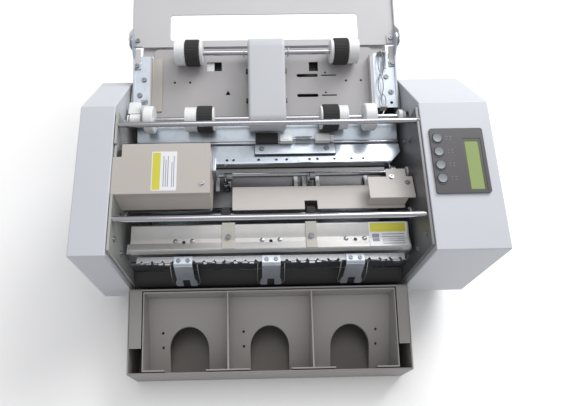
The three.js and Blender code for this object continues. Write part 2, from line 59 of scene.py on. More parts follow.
TO_ROW = Matrix.Translation(DATUM) @ Matrix.Scale(MM, 4)


def corners(node):
    """Lowest and highest corner of a CAD node, in millimetres in the machine's axes."""
    low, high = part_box(node)
    return (low - DATUM) / MM, (high - DATUM) / MM


def centre_yz(node):
    low, high = corners(node)
    return ((low.y + high.y) / 2, (low.z + high.z) / 2)


(LEFT_OUT, _, BASE_Z), (LEFT_IN, REAR_Y, RIDGE_Z) = corners("left_housing")
RIGHT_IN, RIGHT_OUT = (corner.x for corner in corners("right_housing"))
RIDGE = (156.7, RIDGE_Z)
NOSE_Z = 178.8
HOUSING = [(32.7, BASE_Z), (REAR_Y, BASE_Z), (REAR_Y, 165.1), RIDGE, (0, NOSE_Z), (0, 48.7)]
TOP_SLOPE = math.atan2(RIDGE[1] - NOSE_Z, RIDGE[0])
DECK_SLOPE = math.radians(19)
COVER_SLOPE = math.radians(18.3)
FEED = centre_yz("left_feed_roller")
PICKUP = centre_yz("left_pickup_roller")
SLITTER = centre_yz("slitter_upper")
LOWER_SLITTER = centre_yz("slitter_lower")
EXIT = centre_yz("exit_shaft")
FRONT_ROD = centre_yz("front_tie_rod")
REAR_ROD = centre_yz("rear_tie_rod")
HINGE = (261.5, 201.9)
COVER_EDGE = (262, 189.4)
ROLLER_R = 15
SHAFT_R = 3
SHAFT_END = 158.5  # of the slitter and exit shafts, each way from the middle
HUB_R = 9
FLANGE_R = 13.2  # of the nylon rims beside the rollers
DISC_X = (-136, -46, 46, 136)
SHELL = 2.5  # wall of the housings
SHEET = 1.5
BAY = 95.6
BAYS = (-1, 0, 1)
SIDES = (("left", -1), ("right", 1))
DECK_START = (178, corners("feed_deck")[0].z + SHEET)


def top_line(y):
    return NOSE_Z + y * math.tan(TOP_SLOPE)


def deck_line(y):
    return DECK_START[1] + (y - DECK_START[0]) * math.tan(DECK_SLOPE)


# ---------------------------------------------------------------- materials
def socket(node, name, value):
    node.inputs[name].default_value = value


def shader(name, color, roughness, metallic=0.0, blotch=0.05, blotch_scale=14, grain=1200,
           bump=0.08,
           stretch=(1, 1, 1), coat=0.0, wear=0.0, speckle=0.0):
    """A surface with slow colour drift, fine grain in bump and gloss, and lighter worn edges."""
    material = bpy.data.materials.new(name)
    material.use_nodes = True
    nodes, links = material.node_tree.nodes, material.node_tree.links
    surface = nodes["Principled BSDF"]
    socket(surface, "Metallic", metallic)
    socket(surface, "Coat Weight", coat)
    socket(surface, "Coat Roughness", 0.12)
    place = nodes.new("ShaderNodeTexCoord")
    mapping = nodes.new("ShaderNodeMapping")
    socket(mapping, "Scale", stretch)
    links.new(place.outputs["Object"], mapping.inputs["Vector"])

    def noise(scale, detail):
        node = nodes.new("ShaderNodeTexNoise")
        socket(node, "Scale", scale)
        socket(node, "Detail", detail)
        links.new(mapping.outputs["Vector"], node.inputs["Vector"])
        return node.outputs["Fac"]

    def mixed(factor, a, b):
        node = nodes.new("ShaderNodeMix")
        node.data_type = "RGBA"
        links.new(factor, node.inputs["Factor"])
        for index, value in ((6, a), (7, b)):
            if isinstance(value, tuple):
                node.inputs[index].default_value = value
            else:
                links.new(value, node.inputs[index])
        return node.outputs[2]

    def tone(k):
        return tuple(min(1.0, c * k) for c in color) + (1.0,)

    drift = noise(blotch_scale, 3)
    tint = mixed(drift, tone(1 - blotch), tone(1 + blotch))
    if speckle:
        spots = nodes.new("ShaderNodeTexVoronoi")
        socket(spots, "Scale", 160)
        links.new(mapping.outputs["Vector"], spots.inputs["Vector"])
        ramp = nodes.new("ShaderNodeMapRange")
        socket(ramp, "To Min", 0.0)
        socket(ramp, "To Max", speckle)
        links.new(spots.outputs["Color"], ramp.inputs["Value"])
        tint = mixed(ramp.outputs["Result"], tint, tone(1.25))
    if wear:
        shape = nodes.new("ShaderNodeNewGeometry")
        edge = nodes.new("ShaderNodeMapRange")
        for key, value in (("From Min", 0.52), ("From Max", 0.62), ("To Min", 0.0),
                           ("To Max", wear)):
            socket(edge, key, value)
        links.new(shape.outputs["Pointiness"], edge.inputs["Value"])
        tint = mixed(edge.outputs["Result"], tint, tone(1.35))
    links.new(tint, surface.inputs["Base Color"])

    fine = noise(grain, 2)
    gloss = nodes.new("ShaderNodeMapRange")
    socket(gloss, "To Min", max(0.02, roughness * 0.85))
    socket(gloss, "To Max", min(1.0, roughness * 1.15))
    links.new(fine, gloss.inputs["Value"])
    links.new(gloss.outputs["Result"], surface.inputs["Roughness"])
    relief = nodes.new("ShaderNodeBump")
    socket(relief, "Strength", bump)
    socket(relief, "Distance", 0.0002)
    links.new(fine, relief.inputs["Height"])
    links.new(relief.outputs["Normal"], surface.inputs["Normal"])
    return material


LOOKS = {
    "housing_plastic": shader("housing_plastic", (0.52, 0.54, 0.575), 0.42, bump=0.12, grain=1500,
                              wear=0.3),
    "painted_sheet": shader("painted_sheet", (0.50, 0.495, 0.51), 0.40, bump=0.15, grain=1300,
                            wear=0.3),
    "arm_plastic": shader("arm_plastic", (0.50, 0.515, 0.545), 0.38, bump=0.08, grain=1600,
                          wear=0.2),
    "beige_sheet": shader("beige_sheet", (0.43, 0.40, 0.37), 0.45, bump=0.15, grain=1100, wear=0.3),
    "zinc_sheet": shader("zinc_sheet", (0.50, 0.55, 0.61), 0.30, 0.85, blotch=0.12, blotch_scale=30,
                         grain=500, bump=0.05, speckle=0.5, wear=0.3),
    "steel": shader("steel", (0.40, 0.41, 0.43), 0.32, 0.95, stretch=(1, 14, 14), grain=300,
                    bump=0.06),
    "chrome": shader("chrome", (0.50, 0.50, 0.53), 0.14, 1.0, blotch=0.02, grain=900, bump=0.02),
    "dark_sheet": shader("dark_sheet", (0.022, 0.022, 0.024), 0.5, grain=1300, bump=0.2, wear=0.2),
    "motor_metal": shader("motor_metal", (0.34, 0.35, 0.37), 0.36, 0.9, grain=700),
    "tray_plastic": shader("tray_plastic", (0.285, 0.272, 0.265), 0.52, bump=0.25, grain=1400,
                           wear=0.1),
    "rubber": shader("rubber", (0.034, 0.033, 0.034), 0.72, bump=0.3, grain=900, blotch=0.15),
    "nylon": shader("nylon", (0.74, 0.75, 0.755), 0.35, bump=0.05, blotch=0.03),
    "panel_plastic": shader("panel_plastic", (0.070, 0.066, 0.074), 0.42, bump=0.15, grain=1800),
    "display_lens": shader("display_lens", (0.27, 0.35, 0.13), 0.18, coat=0.5, bump=0.02,
                           blotch=0.12),
    "button_plastic": shader("button_plastic", (0.22, 0.235, 0.255), 0.45, bump=0.12),
    "dark_plastic": shader("dark_plastic", (0.012, 0.012, 0.013), 0.35, bump=0.2, grain=1500),
    "circuit_board": shader("circuit_board", (0.02, 0.13, 0.05), 0.35, coat=0.3, bump=0.1),
}
EXTRAS = {
    # left_side and right_side are lit and shaded copies of one zinc: the left plate's lighter tone
    # is painted light, the right plate's dark tone is painted shade
    "left_side": shader("left_side", (0.42, 0.43, 0.41), 0.45, 0.5, blotch=0.12, grain=600,
                        bump=0.05),
    "right_side": shader("right_side", (0.20, 0.20, 0.205), 0.42, 0.6, blotch=0.10, grain=600,
                         bump=0.05),
    "deck_paint": shader("deck_paint", (0.36, 0.35, 0.355), 0.42, bump=0.15, grain=1300,
                         blotch=0.10,
                         blotch_scale=9, wear=0.3),
    "plate_paint": shader("plate_paint", (0.50, 0.47, 0.445), 0.42, bump=0.12, grain=1300),
    "bar_zinc": shader("bar_zinc", (0.46, 0.455, 0.45), 0.36, 0.5, blotch=0.10, grain=500,
                       bump=0.05,
                       speckle=0.25, wear=0.4),
    "clip_paint": shader("clip_paint", (0.44, 0.42, 0.385), 0.42, bump=0.12),
    "label_white": shader("label_white", (0.70, 0.71, 0.73), 0.32, coat=0.3, bump=0.02),
    "label_yellow": shader("label_yellow", (0.56, 0.52, 0.03), 0.32, coat=0.3, bump=0.02),
    "label_ink": shader("label_ink", (0.24, 0.26, 0.34), 0.4, bump=0.02),
    "screw": shader("screw", (0.30, 0.31, 0.33), 0.28, 0.95, grain=900, bump=0.05),
    "bezel": shader("bezel", (0.085, 0.088, 0.070), 0.3, coat=0.3, bump=0.02),
    # dark tray plastic: painted shade for the box floor under the insert
    "tray_painted_shade": shader("tray_painted_shade", (0.125, 0.112, 0.103), 0.55, bump=0.25, grain=1400),
    "insert_plastic": shader("insert_plastic", (0.37, 0.352, 0.342), 0.52, bump=0.25, grain=1400),
    # darkened steel: painted shade for parts lying in the pit under the slitters
    "painted_shade_steel": shader("painted_shade_steel", (0.12, 0.12, 0.125), 0.40, 0.7, blotch=0.10, grain=600,
                        bump=0.05),
}

# ---------------------------------------------------------------- outlines
def circle(x, y, r, count=32):
    return [(x + r * math.cos(2 * math.pi * i / count), y + r * math.sin(2 * math.pi * i / count))
            for i in range(count)]


def rect(x0, x1, y0, y1):
    return [(x0, y0), (x1, y0), (x1, y1), (x0, y1)]


def rounded(points, radii, steps=6):
    """Rounds the corners of a closed outline; radii is one number, or one for each corner."""
    if not isinstance(radii, (list, tuple)):
        radii = [radii] * len(points)
    out = []
    for i, (corner, radius) in enumerate(zip(points, radii)):
        p = Vector(corner)
        a = Vector(points[i - 1]) - p
        b = Vector(points[(i + 1) % len(points)]) - p
        half = a.angle(b) / 2
        if radius <= 0 or half > math.radians(89):
            out.append(tuple(p))
            continue
        reach = min(radius / math.tan(half), a.length * 0.49, b.length * 0.49)
        radius = reach * math.tan(half)
        middle = p + (a.normalized() + b.normalized()).normalized() * (radius / math.sin(half))
        start = p + a.normalized() * reach - middle
        turn = start.angle_signed(p + b.normalized() * reach - middle)
        for k in range(steps + 1):
            out.append(tuple(middle + Matrix.Rotation(-turn * k / steps, 2) @ start))
    return out


def offset(points, distance):
    """Moves a closed outline's corners to the left of its direction by distance."""
    out = []
    for i, corner in enumerate(points):
        p = Vector(corner)
        u = (p - Vector(points[i - 1])).normalized()
        v = (Vector(points[(i + 1) % len(points)]) - p).normalized()
        left_u, left_v = Vector((-u.y, u.x)), Vector((-v.y, v.x))
        out.append(tuple(p + (left_u + left_v) * (distance / (1 + left_u.dot(left_v)))))
    return out


def band(a, ar, b, br, steps=20):
    """Outline of a belt lying round two circles."""
    (ay, az), (by, bz) = a, b
    along = math.atan2(bz - az, by - ay)
    spread = math.acos((ar - br) / math.hypot(by - ay, bz - az))
    points = []
    for i in range(steps + 1):
        t = along + spread + (2 * math.pi - 2 * spread) * i / steps
        points.append((ay + ar * math.cos(t), az + ar * math.sin(t)))
    for i in range(steps + 1):
        t = along - spread + 2 * spread * i / steps
        points.append((by + br * math.cos(t), bz + br * math.sin(t)))
    return points


# ---------------------------------------------------------------- solids
ON_YZ = Matrix(((0, 0, 1, 0), (1, 0, 0, 0), (0, 1, 0, 0), (0, 0, 0, 1)))  # plan x, y, z to Y, Z, X
ON_XZ = Matrix(((1, 0, 0, 0), (0, 0, -1, 0), (0, 1, 0, 0),
                (0, 0, 0, 1)))  # plan x, y, z to X, Z, -Y


def on_slope(y, z, slope):
    """Local x stays X, local y runs up the slope from (y, z) and local z stands on it."""
    return Matrix.Translation((0, y, z)) @ Matrix.Rotation(slope, 4, "X")


ON_TOP = on_slope(0, NOSE_Z, TOP_SLOPE)
ON_DECK = on_slope(*DECK_START, DECK_SLOPE)


def soften(bm, width, segments=2, angle=30):
    """Rounds every edge that turns more than angle degrees."""
    bmesh.ops.recalc_face_normals(bm, faces=bm.faces)
    sharp = [e for e in bm.edges if e.is_manifold and e.calc_face_angle(0) > math.radians(angle)]
    if sharp and width:
        bmesh.ops.bevel(bm, geom=sharp, offset=width, segments=segments, profile=0.5,
                        affect="EDGES",
                        clamp_overlap=True)
    return bm


def prism(outline, z0, z1, matrix=Matrix(), edge=0.0, segments=2):
    """An outline without holes, drawn out from z0 to z1."""
    bm = bmesh.new()
    low = [bm.verts.new((x, y, z0)) for x, y in outline]
    high = [bm.verts.new((x, y, z1)) for x, y in outline]
    bm.faces.new(low[::-1])
    bm.faces.new(high)
    for i in range(len(outline)):
        bm.faces.new((low[i - 1], low[i], high[i], high[i - 1]))
    soften(bm, edge, segments)
    bm.transform(matrix)
    return bm


def plate(outline, holes, z0, z1, matrix=Matrix(), edge=0.2):
    """An outline with holes, drawn out from z0 to z1."""
    curve = bpy.data.curves.new("plate", "CURVE")
    curve.dimensions = "2D"
    curve.fill_mode = "BOTH"
    curve.extrude = (z1 - z0) / 2
    for ring in (outline, *holes):
        spline = curve.splines.new("POLY")
        spline.points.add(len(ring) - 1)
        for point, (x, y) in zip(spline.points, ring):
            point.co = (x, y, 0, 1)
        spline.use_cyclic_u = True
    holder = bpy.data.objects.new("plate", curve)
    mesh = bpy.data.meshes.new_from_object(holder)
    bm = bmesh.new()
    bm.from_mesh(mesh)
    bpy.data.objects.remove(holder)
    bpy.data.meshes.remove(mesh)
    bpy.data.curves.remove(curve)
    bmesh.ops.remove_doubles(bm, verts=bm.verts, dist=1e-3)
    bmesh.ops.dissolve_limit(bm, angle_limit=0.002, verts=bm.verts, edges=bm.edges)
    soften(bm, edge)
    bm.transform(Matrix.Translation((0, 0, (z0 + z1) / 2)))
    bm.transform(matrix)
    return bm


def turned(centre, profile, segments=48, edge=0.3):
    """A body of revolution about an X axis through centre; profile is a list of (x, radius)."""
    y, z = centre
    bm = bmesh.new()
    rings = []
    for x, r in profile:
        if r == 0:
            rings.append([bm.verts.new((x, y, z))])
            continue
        rings.append([bm.verts.new((x, y + r * math.cos(2 * math.pi * i / segments),
                                    z + r * math.sin(2 * math.pi * i / segments)))
                      for i in range(segments)])
    for a, b in zip(rings, rings[1:]):
        for i in range(segments):
            corner = [a[i - 1], a[i]] if len(a) > 1 else [a[0]]
            corner += [b[i], b[i - 1]] if len(b) > 1 else [b[0]]
            if len(corner) > 2:
                bm.faces.new(corner)
    return soften(bm, edge)


def rod(centre, radius, x0, x1, segments=32, edge=0.4):
    return turned(centre, [(x0, 0), (x0, radius), (x1, radius), (x1, 0)], segments, edge)


def ring(centre, outer, inner, x0, x1, segments=48, edge=0.3):
    bm = turned(centre, [(x0, inner), (x0, outer), (x1, outer), (x1, inner), (x0, inner)], segments,
                0)
    bmesh.ops.remove_doubles(bm, verts=bm.verts, dist=1e-4)
    return soften(bm, edge)


def block(x0, x1, y0, y1, z0, z1, edge=0.3):
    return prism(rect(x0, x1, y0, y1), z0, z1, edge=edge)


def upright(x, y, z0, z1, radius, segments=24, edge=0.2):
    return prism(circle(x, y, radius, segments), z0, z1, edge=edge)


def both(*parts):
    """Several meshes as one piece."""
    whole = bmesh.new()
    for part in parts:
        mesh = bpy.data.meshes.new("part")
        part.to_mesh(mesh)
        part.free()
        whole.from_mesh(mesh)
        bpy.data.meshes.remove(mesh)
    return whole


def boolean(base, tool, operation="DIFFERENCE"):
    """Cuts tool from base, or joins them; both meshes are used up."""
    objects = []
    for part in (base, tool):
        bmesh.ops.recalc_face_normals(part, faces=part.faces)
        mesh = bpy.data.meshes.new("tool")
        part.to_mesh(mesh)
        part.free()
        holder = bpy.data.objects.new("tool", mesh)
        bpy.context.scene.collection.objects.link(holder)
        objects.append(holder)
    cutter = objects[0].modifiers.new("cut", "BOOLEAN")
    cutter.object = objects[1]
    cutter.operation = operation
    cutter.solver = "EXACT"
    bpy.context.view_layer.update()
    result = bmesh.new()
    result.from_object(objects[0], bpy.context.evaluated_depsgraph_get())
    for holder in objects:
        mesh = holder.data
        bpy.data.objects.remove(holder)
        bpy.data.meshes.remove(mesh)
    bmesh.ops.dissolve_limit(result, angle_limit=0.002, verts=result.verts, edges=result.edges)
    return result


def formed(bm, line, radius=2.0, cuts=5):
    """Bends a flat pattern along a line in Y and Z.

    In the pattern, x stays X, y is the distance along the line and z stands to the line's left."""
    points = [Vector(p) for p in line]
    runs = []  # start distance, start point, direction angle, curvature
    at, s = points[0], 0.0
    for i in range(1, len(points)):
        before = points[i] - points[i - 1]
        angle = math.atan2(before.y, before.x)
        if i == len(points) - 1:
            runs.append((s, at.copy(), angle, 0.0))
            break
        after = points[i + 1] - points[i]
        turn = -before.angle_signed(after)
        reach = radius * math.tan(abs(turn) / 2)
        start = points[i] - before.normalized() * reach
        runs.append((s, at.copy(), angle, 0.0))
        s += (start - at).length
        runs.append((s, start, angle, math.copysign(1 / radius, turn)))
        arc = radius * abs(turn)
        for k in range(cuts + 1):
            bmesh.ops.bisect_plane(bm, geom=bm.verts[:] + bm.edges[:] + bm.faces[:], dist=1e-4,
                                   plane_co=(0, s + arc * k / cuts, 0), plane_no=(0, 1, 0))
        s += arc
        at = points[i] + after.normalized() * reach
    for vert in bm.verts:
        x, along, rise = vert.co
        s0, p, angle, bend = [run for run in runs if run[0] <= along + 1e-6 or run is runs[0]][-1]
        step = along - s0
        if bend:
            turn = bend * step
            centre = p + Vector((-math.sin(angle), math.cos(angle))) / bend
            p = centre + Vector((math.sin(angle + turn), -math.cos(angle + turn))) / bend
            angle += turn
        else:
            p = p + Vector((math.cos(angle), math.sin(angle))) * step
        vert.co = (x, p.x - math.sin(angle) * rise, p.y + math.cos(angle) * rise)
    return bm


def length_of(line):
    return sum(math.dist(a, b) for a, b in zip(line, line[1:]))


def wire(points, radius, sides=8):
    """A round wire through points, with closed ends."""
    curve = bpy.data.curves.new("wire", "CURVE")
    curve.dimensions = "3D"
    curve.bevel_depth = radius
    curve.bevel_resolution = max(1, sides // 4)
    curve.use_fill_caps = True
    spline = curve.splines.new("POLY")
    spline.points.add(len(points) - 1)
    for point, co in zip(spline.points, points):
        point.co = (*co, 1)
    holder = bpy.data.objects.new("wire", curve)
    mesh = bpy.data.meshes.new_from_object(holder)
    bm = bmesh.new()
    bm.from_mesh(mesh)
    bpy.data.objects.remove(holder)
    bpy.data.meshes.remove(mesh)
    bpy.data.curves.remove(curve)
    bmesh.ops.remove_doubles(bm, verts=bm.verts, dist=1e-4)
    return bm


def coil(start, end, radius, turns, gauge):
    """A close-wound spring between two points, with a straight tail at each end."""
    start, end = Vector(start), Vector(end)
    axis = (end - start).normalized()
    side = axis.orthogonal().normalized()
    other = axis.cross(side)
    steps = turns * 12
    points = [start]
    for i in range(steps + 1):
        t = 2 * math.pi * i / 12
        middle = start.lerp(end, 0.12 + 0.76 * i / steps)
        points.append(middle + (side * math.cos(t) + other * math.sin(t)) * radius)
    points.append(end)
    return wire([tuple(p) for p in points], gauge, 4)


def piece(name, bm, body, look, extra=None, replaces=(), smooth=32):
    """Puts a finished mesh in place as a named piece that rides on a CAD body."""
    bm.transform(TO_ROW)
    bmesh.ops.recalc_face_normals(bm, faces=bm.faces)
    mesh = bpy.data.meshes.new(name)
    bm.to_mesh(mesh)
    bm.free()
    mesh.polygons.foreach_set("use_smooth", [True] * len(mesh.polygons))
    mesh.set_sharp_from_angle(angle=math.radians(smooth))
    mesh.materials.append(EXTRAS[extra] if extra else LOOKS[look])
    obj = bpy.data.objects.new(name, mesh)
    bpy.context.scene.collection.objects.link(obj)
    normals = obj.modifiers.new("normals", "WEIGHTED_NORMAL")
    normals.keep_sharp = True
    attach(obj, body)
    if replaces:
        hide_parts(*replaces)
    return obj


def screw_head(radius, height=1.6):
    """A pan head with a cross recess and a washer, standing on the origin along local z."""
    arm, half = radius * 0.58, radius * 0.14
    cross = [(half, half), (half, arm), (-half, arm), (-half, half), (-arm, half), (-arm, -half),
             (-half, -half), (-half, -arm), (half, -arm), (half, -half), (arm, -half), (arm, half)]
    head = plate(circle(0, 0, radius, 28), [cross], height * 0.45, height, edge=height * 0.16)
    core = prism(circle(0, 0, radius * 0.97, 28), 0.3, height * 0.46)
    washer = prism(circle(0, 0, radius * 1.35, 28), 0, 0.45, edge=0.12)
    return both(head, core, washer)


def screws(name, body, spots, radius=3.0, slot="steel"):
    """Screws at (x, y, z, direction) spots; direction is the way the head faces."""
    heads = []
    for i, (x, y, z, facing) in enumerate(spots):
        head = screw_head(radius)
        turn = Vector((0, 0, 1)).rotation_difference(Vector(facing)).to_matrix().to_4x4()
        head.transform(Matrix.Translation((x, y, z)) @ turn @ Matrix.Rotation(0.4 + 1.1 * i, 4,
                                                                              "Z"))
        heads.append(head)
    return piece(name, both(*heads), body, slot, "screw")


UP = (0, 0, 1)
TOP_NORMAL = (0, -math.sin(TOP_SLOPE), math.cos(TOP_SLOPE))
DECK_NORMAL = (0, -math.sin(DECK_SLOPE), math.cos(DECK_SLOPE))
COVER_NORMAL = (0, -math.sin(COVER_SLOPE), math.cos(COVER_SLOPE))


# ---------------------------------------------------------------- camera, light and floor
def studio():
    scene = bpy.context.scene
    camera = bpy.data.objects.new("camera", bpy.data.cameras.new("camera"))
    camera.data.lens = 29.33
    camera.data.shift_x = 0.0494
    camera.location = (-0.0345, -0.3682, 0.6012)
    camera.rotation_euler = [math.radians(a) for a in (27.86, -0.22, -1.21)]
    scene.collection.objects.link(camera)
    scene.camera = camera
    scene.view_settings.view_transform = "Standard"

    def area(name, place, size, power, color=(1, 1, 1)):
        light = bpy.data.lights.new(name, "AREA")
        light.size = size
        light.energy = power
        light.color = color
        holder = bpy.data.objects.new(name, light)
        holder.location = place
        aim = Vector((0, -0.05, 0.1)) - holder.location
        holder.rotation_euler = aim.to_track_quat("-Z", "Y").to_euler()
        scene.collection.objects.link(holder)

    area("window", (1.0, 1.1, 1.5), 1.1, 34)
    area("ceiling", (0.1, 0.3, 2.3), 1.2, 10)
    area("fill", (-0.1, -0.9, 2.4), 1.0, 0.8)

    world = bpy.data.worlds.new("studio")
    scene.world = world
    world.use_nodes = True
    nodes, links = world.node_tree.nodes, world.node_tree.links
    direction = nodes.new("ShaderNodeTexCoord")
    split = nodes.new("ShaderNodeSeparateXYZ")
    ramp = nodes.new("ShaderNodeValToRGB")
    links.new(direction.outputs["Generated"], split.inputs["Vector"])
    links.new(split.outputs["Z"], ramp.inputs["Fac"])
    for position, grey in ((0.0, 0.12), (0.35, 0.15), (0.72, 0.88), (1.0, 1.05)):
        stop = ramp.color_ramp.elements.new(position) if 0 < position < 1 else \
            ramp.color_ramp.elements[int(position)]
        stop.color = (grey, grey, grey * 1.02, 1)
    links.new(ramp.outputs["Color"], nodes["Background"].inputs["Color"])
    socket(nodes["Background"], "Strength", 0.62)

    floor_mesh = bpy.data.meshes.new("floor")
    floor_mesh.from_pydata([(-6, -6, 0), (6, -6, 0), (6, 6, 0), (-6, 6, 0)], [], [(0, 1, 2, 3)])
    floor = bpy.data.objects.new("floor", floor_mesh)
    floor_mesh.materials.append(shader("floor", (0.97, 0.97, 0.97), 0.7, blotch=0.01, bump=0.0))
    floor.location.z = -0.0004
    scene.collection.objects.link(floor)


# ---------------------------------------------------------------- housings and base
def housings():
    """Moulded shells with rounded edges, open underneath."""
    for name, x0, x1 in (("left", LEFT_OUT, LEFT_IN), ("right", RIGHT_IN, RIGHT_OUT)):
        outer = prism(HOUSING, x0, x1, ON_YZ, edge=1.3, segments=3)
        inside = offset(HOUSING, SHELL)
        inside[0] = (inside[0][0] + 2, BASE_Z - 2)
        inside[1] = (inside[1][0], BASE_Z - 2)
        shell = boolean(outer, prism(inside, x0 + SHELL, x1 - SHELL, ON_YZ))
        if name == "right":
            wall = (x0 - 1, x0 + 3.5)
            for opening in (prism(rounded(rect(168.2, 219.5, 59, 124), 2), -8, 4, ON_TOP),
                            rod(FEED, 6, *wall, edge=0),
                            rod(centre_yz("drive_motor"), 9, *wall, edge=0),
                            block(188.5, 215.5, 220, 235, 32.5, 55.5, edge=0),
                            block(195.5, 208.5, 220, 235, 65.5, 86.5, edge=0)):
                shell = boolean(shell, opening)
        piece(f"{name}_housing_shell", shell, "frame", "housing_plastic",
              replaces=[f"{name}_housing"])
    recess = 1.7
    for name, x, facing in (("left", LEFT_OUT, -1), ("right", RIGHT_OUT, 1)):
        spots = [(x - facing * recess, y, z, (facing, 0, 0))
                 for y, z in ((46, 34), (212, 34), (212, 150), (30, 165))]
        screws(f"{name}_housing_screws", "frame", spots, radius=2.6)


def side_plates():
    """Steel plates just inside the housings, with their screws."""
    rear = [(40, 16), (222, 16), (222, 120), (246, 160), (246, 168), (205, 168), (186, 160),
            (153, 186.2), (151, top_line(151) - 0.6)]
    seat = [(115.5, top_line(115.5) - 0.6), (115.5, top_line(115.5) - 3.4),
            (61, top_line(61) - 3.4),
            (61, top_line(61) - 0.6)]
    for name, side in SIDES:
        low, high = corners(f"{name}_side_plate")
        outline = rear + (seat if side < 0 else []) + [(6, top_line(6) - 0.6), (6, 60)]
        holes = [circle(*c, 3.3) for c in (SLITTER, LOWER_SLITTER, EXIT, FRONT_ROD, REAR_ROD)]
        body = plate(outline, holes, low.x, high.x, ON_YZ, edge=0.25)
        body = boolean(body, rod(FEED, 3.3, low.x - 1, high.x + 1, edge=0))
        # the left plate takes the painted-light copy of the zinc, the right plate the painted-shade
        # copy
        piece(f"{name}_side_sheet", body, "frame", "zinc_sheet", f"{name}_side",
              replaces=[f"{name}_side_plate"])
        inner = low.x if side > 0 else high.x
        spots = [(inner, y, z, (-side, 0, 0)) for y,
                 z in ((22, 168), (18, 140), (24, 104), (52, 158),
                                                          (132, 176), (140, 160))]
        screws(f"{name}_side_screws", "frame", spots, radius=2.6)


def bearings():
    """Flanged bushes where the shafts pass the side plates."""
    for name, side in SIDES:
        low, high = corners(f"{name}_side_plate")
        inner = low.x if side > 0 else high.x
        flanges = []
        for centre in (FEED, SLITTER, LOWER_SLITTER, EXIT):
            ends = sorted((inner - side * 0.1, inner - side * 1.6))
            flanges.append(ring(centre, 6.2, 3.25, *ends, segments=40))
        piece(f"{name}_bushes", both(*flanges), "frame", "nylon")


def tie_rods():
    for node, centre in (("front_tie_rod", FRONT_ROD), ("rear_tie_rod", REAR_ROD)):
        low, high = corners(node)
        piece(f"{node}_bar", rod(centre, SHAFT_R, low.x, high.x, 40), "frame", "chrome",
              replaces=[node])


def base():
    low, high = corners("base_plate")
    holes = [circle(x, y, 3, 20) for x in (-120, -60, 0, 60, 120) for y in (90, 180)]
    bottom = plate(rounded(rect(low.x, high.x, low.y, high.y), 6), holes, low.z, high.z, edge=0.3)
    piece("bottom_plate", bottom, "frame", "zinc_sheet", replaces=["base_plate"])
    for name in ("front_left", "front_right", "rear_left", "rear_right"):
        low, high = corners(f"foot_{name}")
        x, y, r = (low.x + high.x) / 2, (low.y + high.y) / 2, (high.x - low.x) / 2
        pad = turned((0, 0), [(low.z, 0), (low.z, r - 1.5), (low.z + 2, r), (high.z - 1, r - 1.2),
                              (high.z, r - 1.4), (high.z, 0)], 40, 0.4)
        pad.transform(Matrix.Translation((x, y, 0)) @ Matrix.Rotation(math.radians(-90), 4, "Y"))
        piece(f"rubber_foot_{name}", pad, "frame", "rubber", replaces=[f"foot_{name}"])


def rear_and_front():
    low, high = corners("rear_panel")
    slots = [rounded(rect(x, x + 4, 40, 84), 1.9) for x in range(-84, 85, 12)]
    back = plate(rounded(rect(low.x, high.x, low.z, high.z), 2), slots, -high.y, -low.y, ON_XZ)
    piece("rear_sheet", back, "frame", "painted_sheet", replaces=["rear_panel"])
    spots = [(x, high.y, z, (0, 1, 0)) for x in (-146, 146) for z in (28, 146)]
    screws("rear_screws", "frame", spots, radius=2.8)
    line = [(3, 17), (3, 71), (18.6, 82)]
    sheet = formed(block(-156, 156, 0, length_of(line) - 0.5, -SHEET, 0, edge=0.2), line, 3)
    piece("front_apron_sheet", sheet, "frame", "dark_sheet", replaces=["front_apron"])


# ---------------------------------------------------------------- sheet feeder
def deck():
    """Feed deck with its square holes, adjusting slots and arrow, and the guide below it."""
    slope = math.cos(DECK_SLOPE)
    length = (257.8 - DECK_START[0]) / slope

    def along(y):
        return (y - DECK_START[0]) / slope

    holes = [rect(-69, -51.5, along(231.4), along(242)), rect(52, 62.6, along(230), along(241))]
    for y in (201.5, 225):
        holes.append(rounded(rect(37, 62, along(y) - 2, along(y) + 2), 1.9))
        holes.append(rounded(rect(66, 84, along(y) - 0.8, along(y) + 0.8), 0.7))
        holes.append(circle(71, along(y) + 3.4, 1.2, 16))
    holes += [circle(x, along(218.5), 1.4, 16) for x in (-107, -89, 95.4, 113.2)]
    holes.append([(-47.4, along(203.2)), (-41.4, along(203.2)), (-44.4, along(208.4))])
    low, high = corners("feed_deck")
    outline = rounded(rect(low.x, high.x, 0, length), [1, 1, 5, 5])
    sheet = plate(outline, holes, -SHEET, 0, ON_DECK, edge=0.25)
    piece("feed_deck_sheet", sheet, "frame", "painted_sheet", "deck_paint", replaces=["feed_deck"])
    under = prism(rect(low.x + 4, high.x - 4, 12, length - 1), -9, -7.6, ON_DECK, edge=0.3)
    piece("deck_stiffener", under, "frame", "dark_sheet")
    target = prism(rect(-69.4, -60.4, along(230.8), along(242)), -3.4, -2.0, ON_DECK, edge=0.2)
    piece("sheet_sensor_target", target, "frame", "nylon")
    lip = [(248, 183.6), (268, 185.8), (268.6, 178)]
    piece("deck_rear_lip",
          formed(block(-146, 146, 0, length_of(lip) - 0.4, -1.2, 0, edge=0.2), lip, 3),
          "frame", "zinc_sheet", "deck_paint")

    line = [(176.8, 160.6), (165, 157), (150.5, 150.8), (147, 146)]
    low, high = corners("deck_front_guide")
    guide = formed(block(low.x, high.x, 0, length_of(line) - 0.6, 0, SHEET, edge=0.2), line, 4)
    piece("front_guide_sheet", guide, "frame", "zinc_sheet", replaces=["deck_front_guide"])
    piece("guide_rod", rod((147.4, 151.6), 1.3, low.x, high.x, 20), "frame", "chrome")


